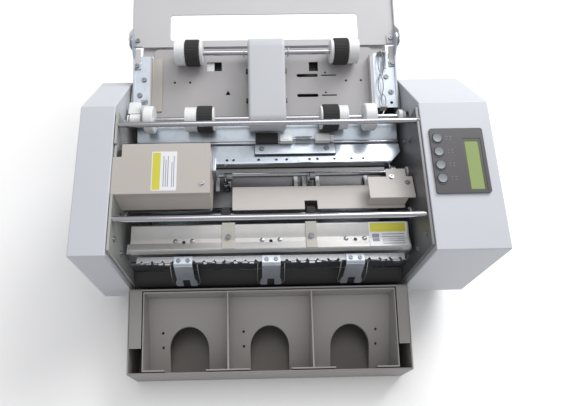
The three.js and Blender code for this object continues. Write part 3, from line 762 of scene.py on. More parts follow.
def deck_rails():
    """Bent rails each side of the deck, with the hinge ears and pins."""
    for name, side in SIDES:
        y0, y1 = 186, 250
        web = [(y0, deck_line(y0) - 12), (y1 - 8, deck_line(y1) - 14), (y1 + 4, deck_line(y1) - 4),
               (HINGE[0] + 6, HINGE[1] - 4), (HINGE[0] + 5, HINGE[1] + 5),
               (HINGE[0] - 5, HINGE[1] + 5),
               (y1 - 6, deck_line(y1) + 3), (y0, deck_line(y0))]
        walls = plate(rounded(web, [2, 2, 3, 3, 4.5, 4.5, 3, 1]),
                      [circle(200, deck_line(200) - 6, 1.6, 16)],
                      *sorted((side * 153.6, side * 155.4)), ON_YZ, edge=0.25)
        run = (y1 - y0) / math.cos(DECK_SLOPE)
        start = on_slope(y0, deck_line(y0), DECK_SLOPE)
        inner = 131.6 if side < 0 else 128.6
        holes = [circle(side * 148, d, 1.7, 16) for d in (6, run - 8)]
        flange = plate(rounded(rect(*sorted((side * inner, side * 155.3)), 0, run), 1.5), holes,
                       -SHEET, 0, start, edge=0.25)
        pin = rod(HINGE, 2, *sorted((side * 154, side * 158.8)), 24)
        piece(f"{name}_rail_sheet", both(walls, flange, pin), "frame", "zinc_sheet",
              replaces=[f"{name}_deck_rail"])
        leaf_y = 234
        leaf = prism(rounded(rect(*sorted((side * 147.5, side * 155.8)), 0, 25.5), 1.2), 0.2, 1.6,
                     on_slope(leaf_y, deck_line(leaf_y), DECK_SLOPE), edge=0.35)
        piece(f"{name}_hinge_leaf", leaf, "frame", "painted_sheet")
        lift = Vector(DECK_NORMAL) * 1.6
        spots = [(side * 147.9, 204, deck_line(204), DECK_NORMAL),
                 (side * 151.6, 238 + lift.y, deck_line(238) + lift.z, DECK_NORMAL),
                 (side * 143, 222, deck_line(222), DECK_NORMAL)]
        screws(f"{name}_rail_screws", "frame", spots, radius=2.5)


def paper_guides():
    """Sliding side guides: a foot on the deck and an upright lip with a rolled edge."""
    for name, side, inner, width, look in (("left", -1, 121.2, 12.6, "beige_sheet"),
                                           ("right", 1, 122.5, 6, "painted_sheet")):
        y0, y1 = 184.5, 246
        run = (y1 - y0) / math.cos(DECK_SLOPE)
        start = on_slope(y0, deck_line(y0) + 0.3, DECK_SLOPE)
        x0, x1 = sorted((side * inner, side * (inner + width)))
        foot = prism(rounded(rect(x0, x1, 0, run), 1), 0, 1.2, start, edge=0.2)
        lip = (side * (inner + width - 1.4), side * (inner + width)) if side < 0 else (inner,
                                                                                       inner + 1.4)
        wall = prism(rect(*sorted(lip), 0, run), 0, 9, start, edge=0.4)
        guide = boolean(foot, wall, "UNION")
        piece(f"{name}_guide_sheet", guide, f"guide_{name}", look, replaces=[f"{name}_paper_guide"])
        rail = prism(rounded(rect(x0 + 0.3, x0 + 1.5, 0.5, run - 0.5), 0.4), 1.2, 2.6, start,
                     edge=0.2)
        piece(f"{name}_guide_edge", rail, f"guide_{name}", "nylon")


def ribbed_roller(centre, outer, bore, x0, x1, ribs=54, depth=0.45):
    """A rubber roller with fine ribs along its length."""
    y, z = centre
    bm = bmesh.new()
    count = ribs * 4

    def ring_at(x, shrink, radius=None):
        made = []
        for i in range(count):
            r = radius or outer - shrink - (depth if i % 4 > 1 else 0)
            t = 2 * math.pi * i / count
            made.append(bm.verts.new((x, y + r * math.cos(t), z + r * math.sin(t))))
        return made

    rings = [ring_at(x0, 0, bore), ring_at(x0, 0.7), ring_at(x0 + 0.7, 0), ring_at(x1 - 0.7, 0),
             ring_at(x1, 0.7), ring_at(x1, 0, bore)]
    for a, b in zip(rings, rings[1:] + rings[:1]):
        for i in range(count):
            bm.faces.new((a[i - 1], a[i], b[i], b[i - 1]))
    return bm


def rubber_rollers(body, centre):
    for side, _ in SIDES:
        node = f"{side}_{body}_roller"
        low, high = corners(node)
        piece(f"{node}_rubber", ribbed_roller(centre, ROLLER_R, HUB_R + 0.3, low.x, high.x), body,
              "rubber", replaces=[node])


def collar(centre, x0, x1, radius, groove_step=2.6):
    """A turned nylon collar with shallow grooves."""
    profile = [(x0, 0), (x0, radius)]
    x = x0 + groove_step
    while x < x1 - groove_step * 0.7:
        profile += [(x - 0.35, radius), (x, radius - 0.35), (x + 0.35, radius)]
        x += groove_step
    return turned(centre, profile + [(x1, radius), (x1, 0)], 48, 0.25)


def feed_shaft():
    piece("feed_bar", rod(FEED, SHAFT_R, -154, 179.5), "feed", "chrome", replaces=["feed_shaft"])
    hubs = [collar(FEED, -91.4, -78.2, 13.6), collar(FEED, 80.9, 91.1, 13.6),
            rod(FEED, HUB_R, -78.2, -60.9), rod(FEED, HUB_R, 62.7, 80.9)]
    hubs += [rod(FEED, FLANGE_R, a, b, 48) for a, b in ((-60.9, -58.7), (60.4, 62.7))]
    piece("feed_hubs", both(*hubs), "feed", "nylon")
    wheels = []
    for x0, x1 in ((-137.6, -126.4), (109.4, 123)):
        wheels.append(turned(FEED,
                             [(x0, 0), (x0, 14.2), (x0 + 1.2, 15.5), (x1 - 1.2, 15.5), (x1, 14.2),
                                    (x1, 0)], 56, 0.3))
    piece("feed_wheels", both(*wheels), "feed", "nylon")
    ends = both(collar(FEED, -153.4, -141.5, 7), collar(FEED, 149, 153.4, 8))
    piece("feed_end_collars", ends, "feed", "nylon")
    y, z = FEED
    support = boolean(block(-156.2, -142.6, y + 1, y + 22, z - 10, z + 5.5, edge=1.4),
                      rod(FEED, 7.6, -160, -140, edge=0))
    piece("feed_bearing_block", support, "frame", "nylon")
    spring = coil((-141, y + 15, z + 12), (-133, y + 16, z + 12.5), 2.6, 6, 0.35)
    piece("bearing_spring", spring, "frame", "steel")
    piece("feed_pulley", rod(FEED, 13.5, 168.5, 177.5, 48), "feed", "nylon")
    rubber_rollers("feed", FEED)


def pickup_shaft():
    piece("pickup_bar", rod(PICKUP, SHAFT_R, -104.5, 107.5), "pickup", "chrome",
          replaces=["pickup_shaft"])
    hubs = [collar(PICKUP, -103.9, -92.1, 13.8), collar(PICKUP, 95.3, 106.9, 13.8),
            rod(PICKUP, HUB_R, -92.1, -75.6), rod(PICKUP, HUB_R, 78.4, 95.3)]
    hubs += [rod(PICKUP, FLANGE_R, a, b, 48) for a, b in ((-75.6, -72.2), (74.9, 78.4))]
    piece("pickup_hubs", both(*hubs), "pickup", "nylon")
    clips = [rod(PICKUP, 5.2, a, a + 1.2, edge=0.2) for a in (-25.5, 25.6)]
    piece("pickup_clips", both(*clips), "pickup", "steel")
    rubber_rollers("pickup", PICKUP)


def pickup_arm():
    """The hood over the pick-up belt: a rounded shell, open below, pivoting on the feed shaft."""
    low, high = corners("pickup_arm")
    wall = 2.0
    outer = prism(band(FEED, 14.3, PICKUP, 15.2), low.x, high.x, ON_YZ, edge=3.2, segments=5)
    inner = prism(band(FEED, 14.3 - wall, PICKUP, 15.2 - wall), low.x + wall, high.x - wall, ON_YZ)
    below = [(FEED[0] - 20, FEED[1] - 15), (FEED[0] - 20, FEED[1] - 30),
             (PICKUP[0] + 20, PICKUP[1] - 30),
             (PICKUP[0] + 20, PICKUP[1] + 1.5), (PICKUP[0] + 17, PICKUP[1]),
             (FEED[0] - 6, FEED[1] - 8)]
    hood = boolean(outer, inner)
    hood = boolean(hood, prism(below, low.x - 1, high.x + 1, ON_YZ))
    for centre in (FEED, PICKUP):
        hood = boolean(hood, rod(centre, 3.4, low.x - 1, high.x + 1, edge=0))
    piece("arm_hood", hood, "arm", "arm_plastic", replaces=["pickup_arm"])
    tabs = []
    for y in (190, 224):
        for x, out in ((low.x, -1), (high.x, 1)):
            x0, x1 = sorted((x - out * 0.5, x + out * 2.6))
            tabs.append(block(x0, x1, y - 2.6, y + 2.6, deck_line(y) + 7, deck_line(y) + 11,
                              edge=0.6))
    piece("arm_tabs", both(*tabs), "arm", "dark_plastic")
    belt = boolean(prism(band(FEED, 8, PICKUP, 8), -6, 6, ON_YZ, edge=0.4),
                   prism(band(FEED, 6.6, PICKUP, 6.6), -7, 7, ON_YZ))
    piece("pickup_belt", belt, "arm", "rubber")


def separator():
    """Separation pad, its sprung holder and the adjusting knob."""
    low, high = corners("separation_pad")
    front, rear = (144.4, 157.4), (157, 158.8)  # the pad's upper face
    outline = [(front[0], front[1] - 3), (rear[0], rear[1] - 3), rear, front]
    ribs = [prism(rounded(outline, 0.8), low.x, high.x, ON_YZ, edge=0.4)]
    slope = on_slope(*front, math.atan2(rear[1] - front[1], rear[0] - front[0]))
    for i in range(9):
        x = low.x + 1 + i * 2.9
        ribs.append(prism(rect(x, x + 1.3, 0.5, 12), 0, 0.35, slope, edge=0.1))
    piece("separation_pad_rubber", both(*ribs), "pad", "rubber", replaces=["separation_pad"])
    low, high = corners("pad_holder")
    y0, y1, middle = low.y, high.y, (low.y + high.y) / 2
    cheeks = [block(15, 29, y0, y1, low.z, high.z, edge=0.8),
              block(55, 72, y0, y1, low.z, high.z, edge=0.8)]
    for x in (18, 60):
        cheeks.append(block(x, x + 7, y0 + 2, y1 - 2, high.z - 0.2, high.z + 0.6, edge=0.3))
    piece("holder_cheeks", both(*cheeks), "frame", "nylon", replaces=["pad_holder"])
    z = low.z + 3.2
    piece("holder_pin", rod((middle, z), 1.4, 28, 56, 20), "frame", "chrome")
    spring = coil((30.5, middle, z), (53, middle, z), 2.6, 11, 0.4)
    piece("holder_spring", spring, "frame", "steel", "screw")
    low, high = corners("pad_knob")
    grips = [rod((middle, z), 3.2, low.x, high.x, 32)]
    for y, up in circle(middle, z, 3.3, 10):
        grips.append(rod((y, up), 0.65, low.x, high.x, 10, 0.1))
    piece("knob_grip", both(*grips), "knob", "nylon", replaces=["pad_knob"])


# ---------------------------------------------------------------- slitter and exit
def cross_member():
    """Zinc sheet across the machine, its row of holes, and the bracket for the separator."""
    low, high = corners("cross_member")
    line = [(145, 150), (120, 150), (119, 141)]
    end, width = high.x - 15, 33.5
    outline = [(low.x, 0), (high.x, 0), (high.x, 11), (end, 27.5), (end, width), (low.x, width)]
    holes = [circle(x, 19.5, 1.55, 16) for x in (-46, -38.5, -10, 10, 22, 48, 57, 76.5, 96, 109.5)]
    holes += [rounded(rect(x, x + 7, 9, 13), 1.9) for x in (-132, -112)]
    sheet = formed(plate(outline, holes, 0, SHEET, edge=0.2), line, 2.5)
    piece("cross_sheet", sheet, "frame", "zinc_sheet", replaces=["cross_member"])
    bracket = prism(rounded(rect(-14, 78, 131.2, 145.4), 1.2), 151.55, 153.4, edge=0.4)
    piece("separator_bracket", bracket, "frame", "zinc_sheet")
    under = prism(rect(-14.6, 78.6, 130.4, 146), 151.5, 151.9)
    piece("separator_bracket_gasket", under, "frame", "dark_plastic")
    screws("bracket_screws", "frame", [(-6.4, 138.3, 153.4, UP), (68, 138.3, 153.4, UP)],
           radius=2.4)
    clip = both(block(34.5, 38, 117.5, 119, 143, 150.6), block(34.5, 38, 117.5, 124, 150, 151.2))
    piece("sensor_clip", clip, "frame", "nylon")
    lip_line = [(119.5, 141), (117.8, 140), (116.6, 136.6)]
    strip = block(low.x + 62, high.x - 18, 0, length_of(lip_line) - 0.4, -1, 0, edge=0.2)
    piece("slitter_skirt", formed(strip, lip_line, 2), "frame", "dark_sheet")


def slitters():
    """Two shafts of hardened discs with spacer collars."""
    for node, body, centre, shift in (("slitter_upper", "slitter_top", SLITTER, -1.2),
                                      ("slitter_lower", "slitter_bottom", LOWER_SLITTER, 1.2)):
        parts = [rod(centre, SHAFT_R, -SHAFT_END, SHAFT_END)]
        for x in DISC_X:
            disc = [(x + shift - 1, 0), (x + shift - 1, 11.2), (x + shift, 12),
                    (x + shift + 1, 11.2),
                    (x + shift + 1, 0)]
            parts.append(turned(centre, disc, 72, 0.05))
        piece(f"{node}_discs", both(*parts), body, "chrome", replaces=[node])
        hubs = [rod(centre, 7, x + shift + 1, x + shift + 8, 40, 0.5) for x in DISC_X]
        piece(f"{node}_hubs", both(*hubs), body, "steel")
    low, high = corners("lower_guide_plate")
    outline = [(low.x, low.y), (high.x, low.y)]
    for x in DISC_X[::-1]:
        outline += [(x + 4, high.y), (x + 4, 92), (x - 4, 92), (x - 4, high.y)]
    outline.insert(2, (high.x, high.y))
    outline.append((low.x, high.y))
    plate_body = prism(outline, low.z, high.z, edge=0.2)
    # the lower guide plate takes the darkened steel, painted shade for its place in the pit
    piece("lower_guide_sheet", plate_body, "frame", "steel", "painted_shade_steel",
          replaces=["lower_guide_plate"])


def slitter_guard():
    """A steel strip and a wavy felt wiper over the upper discs."""
    left, right, back = -57, 127, 105.2
    strip = block(left, right, 99.6, 104.6, 163.4, 164.6)
    # the strip takes the darkened steel as painted shade
    piece("slitter_guard_strip", strip, "frame", "steel", "painted_shade_steel")
    wavy = [(x, 109.6 + 1.2 * math.sin(x * 0.034) + 0.5 * math.sin(x * 0.19))
            for x in range(left, right + 1, 2)]
    felt = prism([(x, back) for x in (left, 0, 60, right)] + wavy[::-1], 163, 166.4, edge=0.4)
    piece("slitter_wiper", felt, "frame", "rubber")


def exit_guides():
    low, high = corners("left_exit_plate")
    left = plate(rounded(rect(low.x, high.x, low.y, high.y), 1.5),
                 [circle(x, 74, 2, 16) for x in (-140, -74)],
                 low.z, high.z, edge=0.25)
    piece("left_exit_sheet", left, "frame", "steel", replaces=["left_exit_plate"])
    low, high = corners("right_exit_plate")
    right_x, rear_y, notch_y = 148, 91, 73
    outline = [(low.x, low.y), (39, low.y), (39, notch_y), (53, notch_y), (53, low.y),
               (right_x, low.y),
               (right_x, rear_y), (low.x, rear_y)]
    right = plate(rounded(outline, [1, 0.5, 1, 1, 0.5, 1, 1, 1]), [], low.z, low.z + SHEET,
                  edge=0.25)
    hood = prism(rounded([(107, 66), (155.5, 66), (155.5, 91.8), (149, 91.8), (149, 101.6),
                          (127.6, 101.6),
                          (127.6, 91.8), (107, 91.8)], 0.8), 163.5, 165, edge=0.35)
    front = block(107, right_x, 66, 67.5, 148, 164.2)
    piece("right_exit_sheet", both(right, hood, front), "frame", "painted_sheet", "plate_paint",
          replaces=["right_exit_plate"])
    fingers = []
    for x in (-56.6, 31.8, 41.2, 56.2, 111.6):
        line = [(110, 138.4), (98, 139.6), (93, 136.4)]
        finger = formed(block(x - 2.2, x + 2.2, 0, length_of(line) - 0.2, 0, 2.2, edge=0.5),
                        line[::-1], 3)
        fingers.append(finger)
    piece("sheet_fingers", both(*fingers), "frame", "nylon")
    screws("slitter_cover_screws", "frame", [(133, 91.3, 165, UP), (149, 84, 165, UP)], radius=2.2)


def exit_shaft():
    piece("exit_bar", rod(EXIT, SHAFT_R, -SHAFT_END, SHAFT_END), "exit", "steel",
          replaces=["exit_shaft"])
    rollers = [ribbed_roller(EXIT, 9, 2.8, x0, x1, ribs=32) for x0, x1 in ((-52, -42), (41, 51))]
    piece("exit_rollers", both(*rollers), "exit", "rubber")


def gear_cover():
    """Beige cover over the gearing, with a plain two-colour sticker and leads in its notch."""
    low, high = corners("gear_cover")
    drop = 1.5

    def under(y):
        return top_line(y) - drop - SHEET

    outline = [(low.y, low.z), (high.y, low.z), (high.y, top_line(high.y) - drop),
               (low.y, top_line(low.y) - drop)]
    outer = prism(outline, low.x, high.x, ON_YZ, edge=0.6, segments=3)
    front, rear, right = low.y + SHEET, high.y + 1, high.x - SHEET
    hollow = [(front, low.z - 1), (rear, low.z - 1), (rear, under(rear)), (front, under(front))]
    ahead = low.y - 1
    beside = [(ahead, low.z - 1), (rear, low.z - 1), (rear, under(rear)), (ahead, under(ahead))]
    cover = boolean(outer, prism(hollow, low.x - 1, right, ON_YZ))
    cover = boolean(cover, prism(beside, low.x - 1, -156.2, ON_YZ))
    cover = boolean(cover, prism(rounded(rect(low.x - 4, -150.5, 101, high.y + 5), 0.8), 150, 210))
    piece("gear_cover_sheet", cover, "frame", "beige_sheet", replaces=["gear_cover"])
    on_cover = on_slope(0, NOSE_Z - drop, TOP_SLOPE)
    scale = 1 / math.cos(TOP_SLOPE)
    label("gear_cover_label", on_cover, rect(-119.5, -93.8, 64.5 * scale, 106 * scale))
    plugs = both(block(-156.2, -150.9, 102, 113, 172, 192, edge=0.6),
                 block(-156, -149, 114, 120, 168, 184, edge=0.5))
    piece("lead_connectors", plugs, "frame", "dark_plastic")
    wires = [wire([(-154 + d, 112.6, 188 - d), (-153.6 + d, 120, 187 - 2 * d), (-154, 128, 180 - d),
                   (-155.4, 132, 168)], 0.7) for d in (0, 1.4, 2.8)]
    piece("leads", both(*wires), "frame", "dark_plastic")
    screws("gear_cover_screws", "frame", [(-68, 72, top_line(72) - drop, TOP_NORMAL)], radius=2.0)
    tab = both(block(-59.8, -49, 104, 112, 153.6, 155),
               block(-59.8, -56, 96, 112, 153.6, 176, edge=0.4))
    piece("gear_cover_tab", tab, "frame", "zinc_sheet")


def label(name, matrix, area):
    """A blank sticker: a yellow band, a white field and plain grey bars."""
    (x0, y0), (_, y1) = area[0], area[2]
    white = prism(rounded(area, 1.2), 0.02, 0.16, matrix)
    piece(f"{name}_white", white, "frame", "panel_plastic", "label_white")
    yellow = rounded(rect(x0 + 1, x0 + 9, y0 + 1.2, y1 - 1.2), 0.5)
    piece(f"{name}_band", prism(yellow, 0.1, 0.24, matrix), "frame", "panel_plastic",
          "label_yellow")
    bars = [rect(x0 + along, x0 + along + 0.8, y0 + 4, y1 - short)
            for along, short in ((12, 5), (14.2, 9), (16.4, 5), (20.4, 12), (22.4, 5))]
    piece(f"{name}_bars", both(*[prism(bar, 0.1, 0.22, matrix) for bar in bars]), "frame",
          "panel_plastic", "label_ink")


# ---------------------------------------------------------------- cross-cut knife
KNIFE_LINE = [(51, 133), (51, 139), (35.4, 134.9), (30.6, 134.9), (21.7, 137.4), (20.9, 130)]


def knife():
    """Creased zinc bar over the blades, with two clips and a sticker."""
    low, high = corners("knife_bar")
    total = length_of(KNIFE_LINE)
    crease = 6 + math.dist(KNIFE_LINE[1], KNIFE_LINE[2]) + 2.4
    holes = [circle(x, crease, 1.9, 18) for x in (-92, 1.5, 92.5)]
    bar = formed(plate(rounded(rect(low.x, high.x, 0, total - 1.2), 1), holes, 0, 2.4, edge=0.3),
                 KNIFE_LINE, 1.6)
    piece("knife_bar_sheet", bar, "frame", "zinc_sheet", "bar_zinc", replaces=["knife_bar"])
    rivets = []
    for x in (-101, -83, -8, 11, 82.5, 102.5):
        rivets.append(turned((0, 0), [(0, 0), (0, 2.7), (0.8, 2.3), (1.2, 1.2), (1.3, 0)], 24, 0.1))
        rivets[-1].transform(Matrix.Translation((x, 33, 134.6)) @ Matrix.Rotation(math.radians(-90),
                                                                                  4, "Y"))
    piece("knife_bar_rivets", both(*rivets), "frame", "steel", "screw")
    slope_back = math.atan2(139 - 134.6, 51 - 33)
    for name, x0, x1 in (("left", -51.2, -37), ("right", 39.2, 51.2)):
        line = [(53, 137), (52.2, 140.3), (33, 135.6), (22.6, 138.2)]
        strap = formed(plate(rounded(rect(x0, x1, 0, length_of(line) - 0.5), 0.8), [], 0, 1.0,
                             edge=0.25), line, 2)
        piece(f"{name}_bar_clip", strap, "frame", "beige_sheet", "clip_paint")
        screws(f"{name}_bar_clip_screw", "frame",
               [((x0 + x1) / 2, 36.5, 137.3, (0, -math.sin(slope_back), math.cos(slope_back)))],
               radius=2.2)
    face = on_slope(33, 134.75, slope_back)
    lower_face = on_slope(22.4, 137.35, math.atan2(134.6 - 137.4, 33 - 21.7))
    label_on_bar(face, lower_face)


def label_on_bar(rear_face, front_face):
    """A sticker that follows the bar's crease: band on the rear facet, bars on the front one."""
    x0, x1 = 107.5, 149.4
    white = both(prism(rect(x0, x1, 0.2, 17.6), 0.02, 0.2, rear_face),
                 prism(rect(x0, x1, 0.2, 10.6), 0.02, 0.2, front_face))
    piece("bar_label_white", white, "frame", "panel_plastic", "label_white")
    piece("bar_label_band", prism(rect(x0 + 1.6, x1 - 2, 6.8, 16.4), 0.12, 0.3, rear_face), "frame",
          "panel_plastic", "label_yellow")
    bars = [prism(rect(x0 + 14, x1 - 4, y, y + 0.9), 0.12, 0.28, rear_face) for y in (0.8, 3.6)]
    bars += [prism(rect(x0 + 14, x1 - 4, y, y + 0.9), 0.12, 0.28, front_face) for y in (3, 6, 8.6)]
    bars += [prism(rect(x0 + 3.5, x0 + 11, 0.3, 4.6), 0.12, 0.28, rear_face),
             prism(rect(x0 + 3.5, x0 + 11, 6.2, 10.4), 0.12, 0.28, front_face)]
    piece("bar_label_bars", both(*bars), "frame", "panel_plastic", "label_ink")


DEFLECTORS = [sum(corners(f"deflector_{name}")[k].x for k in (0, 1)) / 2 for name in ("left",
                                                                                      "centre",
                                                                                      "right")]


def card_strip():
    """Notched strip that the cut cards drop past, with small brackets along it."""
    low, high = corners("card_strip")
    teeth = 26
    step = (high.x - low.x) / teeth
    outline = [(low.x, high.y), (low.x, low.y)]
    for i in range(teeth):
        outline += [(low.x + (i + 0.3) * step, low.y), (low.x + (i + 0.5) * step, low.y + 2.5),
                    (low.x + (i + 0.7) * step, low.y)]
    outline += [(high.x, low.y), (high.x, high.y)]
    piece("card_strip_sheet", prism(outline, low.z, high.z, edge=0.15), "frame", "steel",
          replaces=["card_strip"])
    random = Random(7)
    brackets = []
    x = low.x + 4
    while x < high.x - 8:
        wide = random.uniform(3, 8)
        if min(abs(x + wide / 2 - c) for c in DEFLECTORS) > 15:
            front = low.y - random.uniform(0.3, 2.2)
            brackets.append(block(x, x + wide, front, low.y + 1.2, low.z - random.uniform(0, 2),
                                  low.z + 2.2, 0.3))
        x += wide + random.uniform(1, 5)
    piece("card_strip_brackets", both(*brackets), "frame", "steel")


def deflectors():
    """Three bent tongues that send the cards down, each with two spring wires."""
    line = [(18.6, 125.8), (9.4, 125.8), (0.8, 84)]
    total = length_of(line) - 1
    for name, x in zip(("left", "centre", "right"), DEFLECTORS):
        outline = [(x - 10, 0), (x + 10, 0), (x + 10, total - 14), (x + 12, total - 8),
                   (x + 12, total),
                   (x + 4, total), (x + 4, total - 13), (x - 4, total - 13), (x - 4, total),
                   (x - 12, total),
                   (x - 12, total - 8), (x - 10, total - 14)]
        flat = plate(rounded(outline, [0.5, 0.5, 3, 3, 2, 1, 1.2, 1.2, 1, 2, 3, 3]), [], -1.4, 0,
                     edge=0.3)
        piece(f"{name}_tongue", formed(flat, line, 2.5), "frame", "zinc_sheet",
              replaces=[f"deflector_{name}"])
        screws(f"{name}_tongue_screws", "frame", [(x - 5, 14, 127.2, UP), (x + 5, 14, 127.2, UP)],
               radius=1.9)
        wires = []
        for out in (-1, 1):
            wires.append(wire([(x + out * 14.5, 12, 121), (x + out * 15, 5, 106),
                               (x + out * 15.2, 2, 92),
                               (x + out * 13.4, 1, 85), (x + out * 12, 2, 84)], 0.45))
        piece(f"{name}_card_springs", both(*wires), "frame", "steel")


# ---------------------------------------------------------------- control panel
def controls():
    """Charcoal panel, four buttons with rings, and a display in its bezel."""
    outline = rounded(rect(166.8, 222, 56.8, 127.5), 2.4)
    places = [(173.9, y) for y in (116.4, 101.4, 86.9, 72.5)]
    holes = [circle(x, y, 5.3, 36) for x,
             y in places] + [rounded(rect(199.4, 218.4, 58.2, 116), 1.2)]
    face = plate(outline, holes, 0.3, 2.3, ON_TOP, edge=0.5)
    piece("panel_face", face, "frame", "panel_plastic", replaces=["control_panel"])
    rings = both(*[plate(circle(x, y, 6.4, 36), [circle(x, y, 5.3, 36)], 2.1, 2.7, ON_TOP, edge=0.2)
                   for x, y in places])
    piece("button_rings", rings, "frame", "panel_plastic")
    for i, (x, y) in enumerate(places, 1):
        cap = turned((0, 0), [(-3, 0), (-3, 4.8), (3.2, 4.8), (3.7, 4.4), (3.3, 3.2), (3.15, 0)],
                     40, 0.15)
        cap.transform(ON_TOP @ Matrix.Translation((x, y, 0)) @ Matrix.Rotation(math.radians(-90), 4,
                                                                               "Y"))
        piece(f"button_cap_{i}", cap, f"button_{i}", "button_plastic", replaces=[f"button_{i}"])
    marks = []
    for x, y in places:
        for dx, dy, wide in ((9.4, 1.6, 1.5), (9.4, -1.4, 1.3), (13.2, 1.6, 1.9),
                             (13.2, -1.4, 1.5)):
            marks.append(prism(rect(x + dx, x + dx + wide, y + dy, y + dy + 0.45), 2.28, 2.36,
                               ON_TOP))
    piece("panel_marks", both(*marks), "frame", "panel_plastic", "label_ink")
    bezel = plate(rounded(rect(199.4, 218.4, 58.2, 116), 1.2),
                  [rounded(rect(202, 215.8, 61, 113), 0.8)],
                  0.4, 1.9, ON_TOP, edge=0.15)
    piece("display_bezel", bezel, "frame", "display_lens", "bezel")
    lens = prism(rounded(rect(201.5, 216.3, 60.4, 113.6), 0.6), -3, 1.5, ON_TOP, edge=0.15)
    piece("display_glass", lens, "frame", "display_lens", replaces=["display"])


# ---------------------------------------------------------------- drive and electrics
def electrics():
    """Motors, pulley, belt and board inside the housings, and the inlet and switch behind."""
    centre = centre_yz("drive_motor")
    can = [turned(centre, [(182, 0), (182, 20), (184, 21), (218, 21), (222, 18), (222, 0)], 56,
                  0.5),
           rod(centre, 8, 180, 182, edge=0.3)]
    piece("motor_can", both(*can), "frame", "motor_metal", replaces=["drive_motor"])
    pulley = turned(centre,
                    [(167, 0), (167, 8.3), (168.5, 8.3), (168.5, 6.5), (177.5, 6.5), (177.5, 8.3),
                             (179.5, 8.3), (179.5, 0)], 40, 0.2)
    piece("pulley_wheel", pulley, "motor", "steel", replaces=["motor_pulley"])
    belt = boolean(prism(band(centre, 8.6, FEED, 15.6), 169, 177, ON_YZ, edge=0.3),
                   prism(band(centre, 6.8, FEED, 13.8), 168, 178, ON_YZ))
    piece("belt_loop", belt, "frame", "rubber", replaces=["drive_belt"])
    motor = turned(centre_yz("knife_motor"),
                   [(-193, 0), (-193, 15), (-191, 17), (-170, 17), (-168, 15), (-168, 6), (-164, 6),
                           (-164, 0)], 48, 0.4)
    piece("knife_motor_can", motor, "frame", "motor_metal", replaces=["knife_motor"])
    low, high = corners("control_board")
    board = block(low.x, high.x, low.y, high.y, low.z, high.z, edge=0.1)
    piece("board", board, "frame", "circuit_board", replaces=["control_board"])
    random = Random(3)
    chips = []
    for row in range(4):
        for column in range(3):
            y = low.y + 12 + column * 26 + random.uniform(-3, 3)
            z = low.z + 12 + row * 22 + random.uniform(-3, 3)
            chips.append(block(low.x - random.uniform(2, 6), low.x, y, y + random.uniform(6, 14), z,
                               z + random.uniform(5, 11), edge=0.3))
    piece("board_parts", both(*chips), "frame", "dark_plastic")

    low, high = corners("power_inlet")
    socket_hole = rounded(rect(191.5, 212.5, 36, 52), [1, 1, 4, 4])
    flange = plate(rounded(rect(low.x, high.x, low.z, high.z), 3), [socket_hole], -232, -229.9,
                   ON_XZ, edge=0.3)
    well = plate(rounded(rect(189, 215, 33, 55), 2), [socket_hole], -229.9, -214, ON_XZ, edge=0.2)
    rear = prism(rounded(rect(189, 215, 33, 55), 2), -214, -208, ON_XZ, edge=0.3)
    piece("inlet_body", both(flange, well, rear), "frame", "dark_plastic", replaces=["power_inlet"])
    pins = both(*[block(x - 0.9, x + 0.9, 214, 228, z - 2, z + 2, edge=0.3)
                  for x, z in ((196, 42), (202, 46.5), (208, 42))])
    piece("inlet_pins", pins, "frame", "steel")
    screws("inlet_screws", "frame",
           [(low.x + 3, 231.9, 44, (0, 1, 0)), (high.x - 3, 231.9, 44, (0, 1, 0))],
           radius=1.6)
    rocker = [(224, 67.5), (229.5, 67), (231.5, 68), (230, 76), (231.5, 84), (229.5, 85),
              (224, 84.5)]
    piece("rocker_cap",
          prism(rounded(rocker, [0.3, 0.8, 0.8, 6, 0.8, 0.8, 0.3]), 196, 208, ON_YZ, edge=0.4),
          "rocker", "dark_plastic", replaces=["power_switch"])
    frame_ring = plate(rounded(rect(193, 211, 63, 89), 1.5), [rect(195.4, 208.6, 65.6, 86.4)],
                       -230.6, -229.6,
                       ON_XZ, edge=0.2)
    piece("rocker_frame", frame_ring, "frame", "dark_plastic")


# ---------------------------------------------------------------- top cover
COVER_REAR, COVER_FRONT, COVER_HALF = 105.5, 146, 158


def step(p, angle, length):
    return (p[0] + math.cos(angle) * length, p[1] + math.sin(angle) * length)


